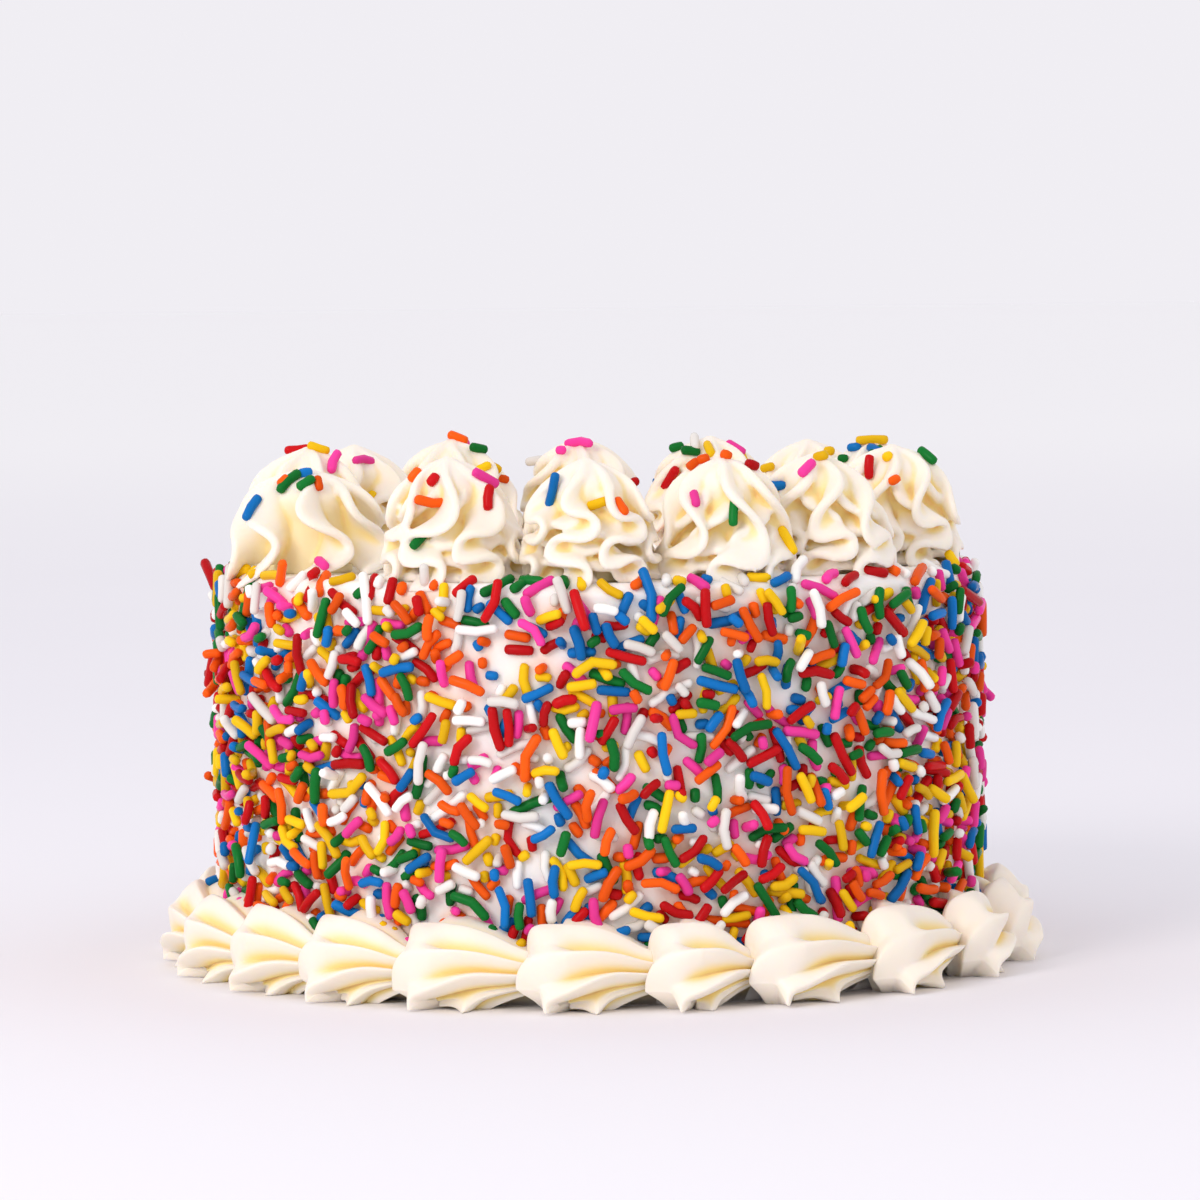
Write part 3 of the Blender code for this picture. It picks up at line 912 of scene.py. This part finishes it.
def scroll_grid(start, end, draw):
    """Points of one scroll, along it by round it, with how deep in a crease each lies. From
    the head's lower edge the height grows with a power of a sine, while the distance back to
    that edge shrinks with the same power of a cosine. Under the edge two more rings turn in
    to the ground."""
    whole = (end - start) * ARC_RADIUS
    angle = np.linspace(-122, 122, ROUND_STEPS)[::-1]
    edge_along, edge_away, edge_up, power = head_edge(angle, draw)
    step = np.linspace(0, 1, HEAD_STEPS)
    share = ((1 - np.cos(math.pi * step)) / 2)[:, None]
    rising = np.sin(share * math.pi / 2) ** power
    back = np.clip(np.cos(share * math.pi / 2), 0, 1) ** power
    head_along = PIVOT - (PIVOT - edge_along) * back
    tail = np.linspace(0, 1, TAIL_STEPS + 1)[1:, None]
    tail_along = PIVOT + tail * (whole + TAIL_TUCK - PIVOT) + 0 * angle
    along = np.vstack([head_along, tail_along])
    away, height, ridge, opened = ridged_section(angle, along, whole, draw)
    blend = np.vstack([share, np.ones((TAIL_STEPS, 1))])
    lifted = np.vstack([rising, np.ones((TAIL_STEPS, len(angle)))])
    away = edge_away + (away - edge_away) * blend
    height = edge_up + (height - edge_up) * lifted
    away += 0.05 * MM * np.sin(along / (1.9 * MM) + draw.uniform(0, 6)) * ridge
    inner_along = edge_along + (PIVOT - edge_along) * np.array([[0.50], [0.30]])
    inner_away = edge_away + (3 * MM - edge_away) * np.array([[0.45], [0.28]])
    inner_up = edge_up * np.array([[0.0], [0.45]])
    along = np.vstack([inner_along, along])
    away = np.vstack([inner_away, away])
    height = np.vstack([inner_up, height])
    place = round_the_cake(WALL_RADIUS + away - INTO_WALL, start + along / ARC_RADIUS, height)
    hidden = round_the_cake(WALL_RADIUS - INTO_WALL, start + along[:, :1] / ARC_RADIUS, 0.0)
    # How deep in a crease a point lies sets the painted bounced light there; on the scroll's top it
    # is paler.
    depth = (1 - ridge) ** 2.0 * opened * soft_step(0.2, 0.8, blend)
    depth *= 1 - TOP_PALER * soft_step(60, 88, angle)
    depth = np.pad(depth, ((2, 0), (0, 1)))
    return np.concatenate([place, hidden], axis=1), depth


print("points of one scroll:", (HEAD_STEPS + TAIL_STEPS + 2) * (ROUND_STEPS + 1))

# %% [markdown]
# ### Laying the border
#
# The tail of every scroll goes under the head of the next, so they are made one after another
# round the cake, each between its own start and that of the next.


# %% The border
def make_scroll(name, start, end, draw):
    """One scroll from its start to that of the next, as a closed tube of ridged loops."""
    points, depth = scroll_grid(start, end, draw)
    tube, quads, caps = tube_mesh(points, 0)
    obj = mesh_object(name + "_icing", tube, [quads, caps], PIPED)
    set_attribute(obj, "fold_depth", np.concatenate([depth.ravel(), [0, 0]]))
    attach(obj, "root")
    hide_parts(name)
    return obj


SCROLL_DRAW = np.random.default_rng(31)
starts = scroll_starts()
scrolls = [
    make_scroll(name, starts[i], starts[i + 1], SCROLL_DRAW) for i, name in enumerate(SCROLLS)
]
print("faces of one scroll:", len(scrolls[0].data.polygons))

# %% [markdown]
# ## Thousands of sprinkles
#
# The cake is rolled in a tray of sprinkles, or they are pressed on by the handful. They lie in
# every direction, mostly one deep, and some rest on others with an end in the air. It is easier
# to lay them on a flat sheet than round a cake, so the side is unrolled: one direction goes
# round, the other up the wall, over the rounded edge and in across the top.

# %% The unrolled side
SPRINKLE_DRAW = np.random.default_rng(41)
RADIUS = 1.0 * MM
GIRTH = 2 * math.pi * WALL_RADIUS
SUNK = 0.72 * RADIUS
LOWEST, HIGHEST = 9.0 * MM, WALL_HEIGHT + 1.0 * MM
EDGE_START = WALL_HEIGHT - EDGE_ROUND
EDGE_LENGTH = EDGE_ROUND * math.pi / 2
MOST_LIFT, RIM_LIFT = 3.3 * MM, 1.8 * MM
LENGTHS, SHORT_LENGTHS = (3.8, 5.6, 11.2), (0.5, 1.6)
SHORT_SHARE = 0.22
LEANING_SHARE, MOST_LEAN = 0.10, 4.0 * MM
TRIES, SINGLE_TRIES = 24000, 15000
NEARBY, TOUCHING, PRESSED = 10 * MM, 1.93 * RADIUS, 0.25 * RADIUS


def on_the_side(around, climb, lift):
    """Points above the cake's skin. The climb is measured up the side, over the rounded edge
    and in across the top."""
    turn = np.clip((climb - EDGE_START) / EDGE_ROUND, 0, math.pi / 2)
    inward = np.maximum(climb - EDGE_START - EDGE_LENGTH, 0)
    radius = WALL_RADIUS - EDGE_ROUND + (EDGE_ROUND + lift) * np.cos(turn) - inward
    height = np.minimum(climb, EDGE_START) + (EDGE_ROUND + lift) * np.sin(turn)
    return round_the_cake(radius, around / WALL_RADIUS, height)


print("the unrolled side:", round(GIRTH / MM), "by", round((HIGHEST - LOWEST) / MM), "mm")

# %% [markdown]
# ### Lying on one another
#
# Two rods cross where their middle lines come closest. If that is nearer than two radii, the
# upper rod has to rise over the lower one there. It tips over it and keeps one end down, or lies
# level across where that keeps it lower.


# %% How one sprinkle rests on others
def closest_places(start, run, starts, runs):
    """Shares along one short line and along each of many others where they come closest, and
    the distance there."""
    gap = start - starts
    own = run @ run
    others = np.einsum("ij,ij->i", runs, runs)
    cross = runs @ run
    mine = gap @ run
    theirs = np.einsum("ij,ij->i", gap, runs)
    bottom = own * others - cross**2
    share = np.clip((cross * theirs - mine * others) / np.maximum(bottom, 1e-15), 0, 1)
    other = np.clip((cross * share + theirs) / others, 0, 1)
    share = np.clip((cross * other - mine) / own, 0, 1)
    apart = gap + share[:, None] * run - other[:, None] * runs
    return share, other, np.hypot(apart[:, 0], apart[:, 1])


def resting_lifts(share, needed):
    """Lifts of the two ends of a sprinkle so that at each share along it the lift is at least
    what is needed. It stays down at one end where it can."""
    if len(share) == 0 or needed.max() <= SUNK:
        return SUNK, SUNK
    up_first = SUNK + ((needed - SUNK) / np.maximum(1 - share, 1e-3)).max()
    up_last = SUNK + ((needed - SUNK) / np.maximum(share, 1e-3)).max()
    flat = needed.max()
    options = [(up_first, SUNK), (SUNK, up_last), (flat, flat)]
    return min(options, key=lambda pair: max(pair) + 0.15 * (pair[0] + pair[1]))


print("a sprinkle on the icing is lifted by", round(SUNK / MM, 2), "mm")

# %% [markdown]
# ### Dropping them
#
# Each sprinkle is dropped on the unrolled side. Where it crosses one that is there already, it
# has to lie above it, and it is thrown away if that would lift it too far. So the sprinkles
# hardly run through each other. The first tries only take bare icing, which spreads them well,
# and the later ones make the second layer.


# %% Dropping the sprinkles
def crowding(around, climb):
    """How likely a sprinkle is to stay at a place. It is thinner in a few soft patches."""
    turn = around / WALL_RADIUS
    patch = 0.22 * np.sin(3 * turn + 0.8) * np.sin(climb / (13 * MM) + 1.1)
    patch += 0.16 * np.sin(7 * turn + 2.0 + climb / (21 * MM))
    bare = np.exp(-(((turn + 0.22) / 0.17) ** 2) - ((climb - 70 * MM) / (11 * MM)) ** 2)
    return 1.0 + patch - 0.75 * bare


def scatter(tries, single_tries, draw):
    """Drops sprinkles one after another and returns, for those that stay, the two ends on
    the unrolled side and the lift of each end."""
    ends, lifts = np.zeros((0, 2, 2)), np.zeros((0, 2))
    middles = np.zeros((0, 2))
    for drop in range(tries):
        around = draw.uniform(-GIRTH / 2, GIRTH / 2)
        climb = draw.uniform(LOWEST, HIGHEST)
        length = draw.triangular(*LENGTHS) * MM - 2 * RADIUS
        if draw.uniform() < SHORT_SHARE:
            length = draw.uniform(*SHORT_LENGTHS) * MM
        way = draw.uniform(0, math.pi)
        half = 0.5 * length * np.array([math.cos(way), math.sin(way)])
        lean, most = draw.uniform(), draw.uniform()
        if draw.uniform() > crowding(around, climb):
            continue
        middle = np.array([around, climb])
        offset = middles - middle
        offset[:, 0] -= GIRTH * np.round(offset[:, 0] / GIRTH)
        near = np.flatnonzero((np.abs(offset) < NEARBY).all(axis=1))
        run = 2 * half
        local = ends[near] - middles[near][:, None] + offset[near][:, None]
        runs = local[:, 1] - local[:, 0]
        share, other, apart = closest_places(-half, run, local[:, 0], runs)
        touching = apart < TOUCHING
        if drop < single_tries and touching.any():
            continue
        theirs = lifts[near, 0] * (1 - other) + lifts[near, 1] * other
        needed = theirs + np.sqrt(np.clip(4 * RADIUS**2 - apart**2, 0, None)) - PRESSED
        pair = np.array(resting_lifts(share[touching], needed[touching]))
        if pair.max() > (MOST_LIFT if climb < EDGE_START else RIM_LIFT):
            continue
        if lean < LEANING_SHARE:
            pair[draw.integers(2)] += most**2 * MOST_LEAN
        ends = np.concatenate([ends, [[middle - half, middle + half]]])
        lifts = np.concatenate([lifts, [pair]])
        middles = np.concatenate([middles, [middle]])
    return ends, lifts


side_ends, side_lifts = scatter(TRIES, SINGLE_TRIES, SPRINKLE_DRAW)
raised = int((side_lifts.max(axis=1) > RADIUS).sum())
print("sprinkles on the side:", len(side_ends), "of which raised:", raised)

# %% [markdown]
# ### One sprinkle
#
# One sprinkle is a short rod with rounded ends: seven rings of eight points along a slightly
# bent line. That is only sixty-four faces, and smooth shading hides them. All the sprinkles of
# one colour are worked out together as one array and become one mesh.

# %% Rods from arrays
RING_SIDES = 8
END_LENGTHS = np.array([0.82, 0.58, 0.0])
RING_WIDTHS = np.array([0.50, 0.86, 1.0, 1.0, 1.0, 0.86, 0.50])
TIP_LENGTH = 0.95
BOW, BOW_LENGTH, MOST_BOW = 0.32, 5 * MM, 1.2
GIRTHS = (0.98, 1.13)


def rods(first, last, outward, draw):
    """Points of many bent rods, as an array of rods by points. Each rod's line is a straight
    run between its ends plus a bow that is greatest in the middle, and its rings stand square
    to the line."""
    count = len(first)
    axis = last - first
    length = np.linalg.norm(axis, axis=1, keepdims=True)
    axis = axis / length
    side = np.cross(outward, axis)
    side /= np.linalg.norm(side, axis=1, keepdims=True)
    up = np.cross(axis, side)
    bow = draw.normal(0, BOW, (count, 1)) * np.clip(length / BOW_LENGTH, 0, MOST_BOW) ** 2 * MM
    girth = RADIUS * draw.uniform(*GIRTHS, (count, 1))
    ends = girth * END_LENGTHS
    places = np.concatenate([-ends, length / 2, length + ends[:, ::-1]], axis=1)
    share = places / length
    bend = bow * (0.65 - (2 * share - 1) ** 2)
    slope = -4 * bow * (2 * share - 1) / length
    line = first[:, None] + places[..., None] * axis[:, None] + bend[..., None] * side[:, None]
    tangent = axis[:, None] + slope[..., None] * side[:, None]
    tangent /= np.linalg.norm(tangent, axis=-1, keepdims=True)
    ring_side = np.cross(np.broadcast_to(up[:, None], tangent.shape), tangent)
    turn = np.arange(RING_SIDES) * 2 * math.pi / RING_SIDES
    width = girth * RING_WIDTHS * (1 + draw.uniform(-0.04, 0.04, (count, len(RING_WIDTHS))))
    spoke = np.cos(turn)[:, None] * ring_side[:, :, None]
    spoke = spoke + np.sin(turn)[:, None] * up[:, None, None]
    rings = line[:, :, None] + width[..., None, None] * spoke
    over = (TIP_LENGTH - END_LENGTHS[0]) * girth
    tips = [line[:, 0] - over * tangent[:, 0], line[:, -1] + over * tangent[:, -1]]
    return np.concatenate([rings.reshape(count, -1, 3), np.stack(tips, axis=1)], axis=1)


def rod_faces(count):
    """Faces of many rods: the same list for each, moved on by the number of points in one."""
    rings = len(RING_WIDTHS)
    step = rings * RING_SIDES + 2
    base = np.arange(count)[:, None, None] * step
    quads = grid_faces(rings, RING_SIDES)[:, ::-1]
    first = fan_faces(np.arange(RING_SIDES)[::-1], rings * RING_SIDES)
    last = fan_faces((rings - 1) * RING_SIDES + np.arange(RING_SIDES), rings * RING_SIDES + 1)
    caps = np.vstack([first, last])
    return (quads[None] + base).reshape(-1, 4), (caps[None] + base).reshape(-1, 3)


def rod_object(name, first, last, outward, colour, draw):
    """All the sprinkles of one colour as one mesh, each with its own shade."""
    points = rods(first, last, outward, draw)
    quads, caps = rod_faces(len(first))
    obj = mesh_object(name, points.reshape(-1, 3), [quads, caps], SUGAR[colour])
    set_attribute(obj, "own_shade", np.repeat(draw.uniform(0, 1, len(first)), points.shape[1]))
    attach(obj, "root")
    return obj


print("faces of one sprinkle:", sum(len(faces) for faces in rod_faces(1)))

# %% [markdown]
# ### Pressing them on
#
# The ends go from the unrolled side back onto the cake, and every sprinkle gets a colour by the
# shares in the mix. A sprinkle's outward direction says which way its bow may bend: along the
# skin, never into it.

# %% Sprinkles on the side
COLOURS = list(SUGARS)
SHARES = np.array([0.140, 0.180, 0.175, 0.110, 0.115, 0.115, 0.165])
first = on_the_side(side_ends[:, 0, 0], side_ends[:, 0, 1], side_lifts[:, 0])
last = on_the_side(side_ends[:, 1, 0], side_ends[:, 1, 1], side_lifts[:, 1])
middle = side_ends.mean(axis=1)
outward = on_the_side(*middle.T, 1.0) - on_the_side(*middle.T, 0.0)
kinds = SPRINKLE_DRAW.choice(len(COLOURS), len(first), p=SHARES)
for i, colour in enumerate(COLOURS):
    chosen = kinds == i
    lying = (first[chosen], last[chosen], outward[chosen])
    piece = rod_object(f"side_sprinkles_{colour}", *lying, colour, SPRINKLE_DRAW)
    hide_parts("cake")
print("colours on the side:", dict(zip(COLOURS, np.bincount(kinds).tolist())))

# %% [markdown]
# ### Dye and painted bounced light
#
# Sugar dye bleeds into the damp icing round each sprinkle, most of all the red, orange and pink.
# Light that bounces off these sprinkles warms the icing beside them as well, and one painted tint
# stands for both.
# The warm sprinkles are counted on a fine map of the unrolled side, the map is blurred a little,
# and each point of the iced body reads its own value from it as an attribute.

# %% Dye and painted bounced light in the icing
BLEEDS = {"red": 1.0, "orange": 1.0, "yellow": 0.5, "pink": 0.8}
MAP_COLUMNS, MAP_ROWS, MAP_HEIGHT = 509, 90, 0.09
ROWS_PER_METRE = 1000
BLUR_REACH = 4
BLEED_BLUR = np.exp(-np.linspace(-2.2, 2.2, 2 * BLUR_REACH + 1) ** 2 / 2)
DYE_AND_BOUNCE_POINTS = 5


def dye_and_bounce_map():
    """Counts of points along the warm sprinkles, by place round the cake and height, blurred
    both ways with a bell curve."""
    weights = np.repeat([BLEEDS.get(COLOURS[kind], 0.0) for kind in kinds], DYE_AND_BOUNCE_POINTS)
    share = np.linspace(0, 1, DYE_AND_BOUNCE_POINTS)[:, None]
    places = side_ends[:, None, 0] * (1 - share) + side_ends[:, None, 1] * share
    around = np.mod(places[..., 0].ravel() / GIRTH, 1)
    size, extent = (MAP_COLUMNS, MAP_ROWS), ((0, 1), (0, MAP_HEIGHT))
    counts, _, _ = np.histogram2d(around, places[..., 1].ravel(), size, extent, weights=weights)
    total = sum(w * np.roll(counts, i - BLUR_REACH, axis=0) for i, w in enumerate(BLEED_BLUR))
    padded = np.pad(total, ((0, 0), (BLUR_REACH, BLUR_REACH)))
    total = sum(w * padded[:, i:i + MAP_ROWS] for i, w in enumerate(BLEED_BLUR))
    return total / np.percentile(total, 90)


bled = dye_and_bounce_map()
skin = get_points(body)
column = (np.arctan2(skin[:, 0], -skin[:, 1]) / (2 * math.pi) % 1 * MAP_COLUMNS).astype(int)
row = np.clip(skin[:, 2] * ROWS_PER_METRE, 0, MAP_ROWS - 1).astype(int)
on_wall = np.hypot(skin[:, 0], skin[:, 1]) > WALL_RADIUS - EDGE_ROUND
# Each point of the side reads the painted tint of dye and bounced light.
set_attribute(body, "dye_and_bounce", bled[np.minimum(column, MAP_COLUMNS - 1), row] * on_wall)
print("dye on the side, mean:", round(float(bled.mean()), 2))

# %% [markdown]
# ## The last pinch of sprinkles
#
# A last pinch is thrown over the top once the swirls are on, and lands on whatever faces up. At
# the front each sprinkle is put where the photograph shows it: a ray from the camera finds the
# icing under that place, and the sprinkle is laid on the skin there. Elsewhere sprinkles drop
# straight down at random.

# %% Where the photograph shows them
# Place of the middle in the 1200 by 1200 photograph, direction against the horizontal in
# degrees, length in millimetres, and colour.
FRONT_SPRINKLES = (
    (333, 447, 55, 6.0, "blue"), (334, 463, 80, 6.0, "pink"), (289, 483, 65, 7.0, "green"),
    (305, 475, 40, 3.4, "blue"), (307, 485, 75, 4.4, "green"), (316, 484, 60, 3.6, "orange"),
    (283, 482, 50, 3.2, "orange"), (252, 509, 70, 6.6, "blue"), (409, 453, 30, 2.8, "orange"),
    (416, 476, 50, 3.6, "orange"), (434, 481, 60, 3.0, "red"), (432, 501, -12, 8.4, "orange"),
    (418, 538, 5, 6.2, "green"), (478, 450, 0, 4.4, "green"), (492, 447, 20, 2.6, "orange"),
    (498, 456, 78, 6.4, "red"), (515, 449, 28, 5.6, "blue"), (507, 470, 42, 6.4, "red"),
    (484, 480, 22, 6.6, "pink"), (489, 498, 88, 5.6, "red"), (484, 469, 35, 4.0, "yellow"),
    (528, 475, 70, 2.8, "green"), (503, 481, 20, 2.6, "orange"), (561, 452, 0, 2.6, "pink"),
    (552, 489, 83, 8.0, "blue"), (596, 503, 30, 6.0, "yellow"), (619, 508, 60, 4.8, "orange"),
    (641, 474, 75, 3.2, "yellow"), (659, 451, 10, 2.8, "pink"), (672, 443, 0, 2.6, "orange"),
    (677, 448, 50, 3.6, "green"), (690, 452, 0, 4.6, "green"), (711, 450, -42, 5.4, "yellow"),
    (725, 457, 0, 2.6, "orange"), (704, 461, -10, 3.0, "orange"), (694, 466, 60, 3.2, "orange"),
    (669, 476, 98, 7.2, "red"), (694, 500, 85, 4.2, "pink"), (733, 511, 82, 6.8, "green"),
    (768, 469, 10, 3.6, "yellow"), (776, 484, 10, 4.8, "blue"), (808, 470, 88, 5.0, "pink"),
    (822, 458, -20, 3.4, "yellow"), (829, 453, 0, 2.6, "yellow"), (843, 459, 0, 2.6, "green"),
    (855, 449, -20, 3.4, "blue"), (872, 442, 0, 7.2, "yellow"), (868, 467, 88, 5.4, "red"),
    (893, 480, 20, 3.0, "orange"), (889, 458, 0, 2.4, "yellow"), (926, 457, 98, 5.2, "green"),
    (963, 511, 60, 4.8, "red"), (786, 542, 85, 7.0, "yellow"), (751, 467, 20, 3.2, "red"),
)
PHOTO_PIXELS = 1200
print("sprinkles named at the front:", len(FRONT_SPRINKLES))

# %% [markdown]
# ### Laying a sprinkle on the skin
#
# A sprinkle lies flat on what it lands on. So the wanted direction loses the part of it that
# points out of the skin, and the middle sits a little above the skin. A place just beyond an
# outline is moved down in small steps until the ray finds icing.

# %% Laying sprinkles by rays
BURIED = 0.55 * RADIUS
SCATTERED, PINCH_REACH = 150, 79
LOWER_STEPS, LOWER_STEP = 12, 0.0004
UPRIGHT = 1.5


def skin_under(start, way, trees):
    """The nearest place where a ray meets the icing, and the direction out of the skin there."""
    hits = [tree.ray_cast(start, way) for tree in trees]
    hits = [hit for hit in hits if hit[0] is not None]
    if not hits:
        return None
    place, out, _, _ = min(hits, key=lambda hit: hit[3])
    return np.array(place), np.array(out if out.dot(way) < 0 else -out)


def sprinkle_on(place, out, way, length):
    """The two ends of a sprinkle that lies on the skin at a place, in the direction that is
    nearest to the wanted one."""
    along = way - (way @ out) * out
    along /= max(np.linalg.norm(along), 1e-9)
    middle = place + out * BURIED
    half = max(length * MM - 2 * RADIUS, 0.4 * MM) / 2
    return middle - along * half, middle + along * half


def lay_front_sprinkles(camera, trees):
    """Ends, outward directions and colours of the sprinkles that the photograph shows."""
    turn = camera.matrix_world.to_3x3()
    right, up = np.array(turn.col[0]), np.array(turn.col[1])
    eye = camera.matrix_world.translation
    wide = camera.data.sensor_width / camera.data.lens
    found = []
    for x, y, degrees, length, colour in FRONT_SPRINKLES:
        across = (x / PHOTO_PIXELS - 0.5 + camera.data.shift_x) * wide
        rise = (0.5 - y / PHOTO_PIXELS + camera.data.shift_y) * wide
        hit = None
        for lower in range(LOWER_STEPS):
            ray = turn @ Vector((across, rise - LOWER_STEP * lower * wide, -1.0)).normalized()
            hit = skin_under(eye, ray, trees)
            if hit is not None:
                break
        if hit is None:
            continue
        place, out = hit
        way = math.cos(math.radians(degrees)) * right + math.sin(math.radians(degrees)) * up
        if lower > 1:
            raised = out + UPRIGHT * np.array([0, 0, 1])
            out = raised / np.linalg.norm(raised)
        found.append((*sprinkle_on(place, out, way, length), out, colour))
    return found


def drop_sprinkles(count, trees, draw):
    """Sprinkles that fall at random on the swirls and the top, nearly all of them away from
    the front, where the photograph shows each one."""
    found = []
    while len(found) < count:
        reach = math.sqrt(draw.uniform(0, 1)) * PINCH_REACH * MM
        angle = draw.uniform(0, 2 * math.pi)
        length = draw.triangular(2.6, 5.5, 9.0)
        way = draw.normal(0, 1, 3)
        colour = COLOURS[draw.choice(len(COLOURS), p=SHARES)]
        start = Vector(round_the_cake(reach, angle, 0.15))
        shown = reach > 48 * MM and math.cos(angle) > -0.05
        if shown and draw.uniform() > 0.05:
            continue
        hit = skin_under(start, Vector((0, 0, -1)), trees)
        if hit is None or hit[1][2] < 0.35:
            continue
        place, out = hit
        found.append((*sprinkle_on(place, out, way, length), out, colour))
    return found


print("sprinkles to drop at random:", SCATTERED)

# %% [markdown]
# ## Camera
#
# The cake is seen from a little over a metre away with a long lens, and from a little above its
# top. So the upright sides stay upright, and the swirls show their full height.

# %% Camera
CAMERA_AT = Vector((0.0, -1.120, 0.1475))
camera_data = bpy.data.cameras.new("camera")
camera_data.lens = 153.3
camera_data.sensor_width = 36.0
camera_data.shift_x = 6.0 / 1200
camera = bpy.data.objects.new("camera", camera_data)
camera.location = CAMERA_AT
camera.rotation_euler = (math.radians(90 - 3.54), math.radians(0.6), 0.0)
bpy.context.scene.collection.objects.link(camera)
bpy.context.scene.camera = camera
print("camera", round(CAMERA_AT.length, 2), "m away, lens", camera_data.lens, "mm")

# %% [markdown]
# ## Floor
#
# The floor is a pale matt sheet that turns to pure white with distance. A white floor under an
# even world has just the tone of that world, so no horizon line shows.

# %% Floor
floor_paint = Paint("pale_floor")
away = floor_paint.node(
    "ShaderNodeVectorMath", {"operation": "LENGTH"}, {0: floor_paint.place}
).outputs["Value"]
near = floor_paint.mix(floor_paint.noise(3, 2), (0.89, 0.88, 0.915), (0.91, 0.90, 0.93))
far = floor_paint.range(Wire(floor_paint, away), 0.4, 4.0)
floor_colour = floor_paint.mix(far, near, (0.995, 0.995, 0.995))
floor_paint.set(Base_Color=floor_colour, Roughness=0.9, Specular_IOR_Level=0.1)
bpy.ops.mesh.primitive_plane_add(size=60.0, location=(0, 0, -0.00003))
floor = bpy.context.object
floor.name = "floor"
floor.data.materials.append(floor_paint.material)
print("floor:", floor.name)

# %% [markdown]
# ## Light
#
# One soft lamp on the left gives the sugar its small highlights, a weak one fills the right, and
# a bright even world does the rest. Icing needs much light from all round, or its folds turn
# grey.


# %% Light
def area_light(name, at, towards, size, power, colour):
    """A round lamp at a place, turned towards another place. Its power is in watts."""
    data = bpy.data.lights.new(name, "AREA")
    data.shape = "DISK"
    data.size = size
    data.energy = power
    data.color = colour
    light = bpy.data.objects.new(name, data)
    light.location = at
    light.rotation_euler = (Vector(towards) - Vector(at)).to_track_quat("-Z", "Y").to_euler()
    bpy.context.scene.collection.objects.link(light)


area_light("key", (-0.90, -1.25, 0.78), (0, 0, 0.05), 0.7, 10.2, (1.0, 0.955, 0.93))
area_light("fill", (1.2, -0.8, 0.8), (0, 0, 0.05), 1.4, 0.4, (0.97, 0.97, 1.0))
world = bpy.data.worlds.new("studio")
world.use_nodes = True
world.node_tree.nodes["Background"].inputs["Color"].default_value = (0.93, 0.91, 0.955, 1)
world.node_tree.nodes["Background"].inputs["Strength"].default_value = 0.94
bpy.context.scene.world = world
bpy.context.scene.view_settings.view_transform = "Standard"
print("world strength:", world.node_tree.nodes["Background"].inputs["Strength"].default_value)

# %% [markdown]
# ## Throwing the last pinch
#
# Finding the icing under a point is a question for a search tree: it holds all the faces of a
# mesh sorted by place, so a ray finds the face that it meets without testing each one. One tree
# for each swirl and one for the body are enough for every sprinkle of the last pinch.

# %% Lay the last pinch
bpy.context.view_layer.update()
graph = bpy.context.evaluated_depsgraph_get()
swirl_trees = [BVHTree.FromObject(obj, graph) for obj in swirls]
all_trees = swirl_trees + [BVHTree.FromObject(body, graph)]
PINCH_DRAW = np.random.default_rng(51)
pinch = lay_front_sprinkles(camera, swirl_trees) + drop_sprinkles(SCATTERED, all_trees, PINCH_DRAW)
for colour in COLOURS:
    chosen = [item for item in pinch if item[3] == colour]
    first, last, outward = (np.array([item[i] for item in chosen]) for i in range(3))
    rod_object(f"top_sprinkles_{colour}", first, last, outward, colour, PINCH_DRAW)
print("sprinkles in the last pinch:", len(pinch))

# %% [markdown]
# ## Attaching the pieces
#
# Every piece hangs from the body that carries it and has its material, and the solid that it
# stands for is hidden. The iced body is attached last, once the sprinkles and the painted tint of
# their dye and bounced light are on it.

# %% Count, attach and hide
made = [obj for obj in bpy.data.objects if obj.type == "MESH" and obj.name not in frame["nodes"]]
corners = [len(obj.data.loops) - 2 * len(obj.data.polygons) for obj in made]
print("triangles in all:", sum(corners), "in the largest piece:", max(corners))

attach(body, "root")
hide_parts("cake")
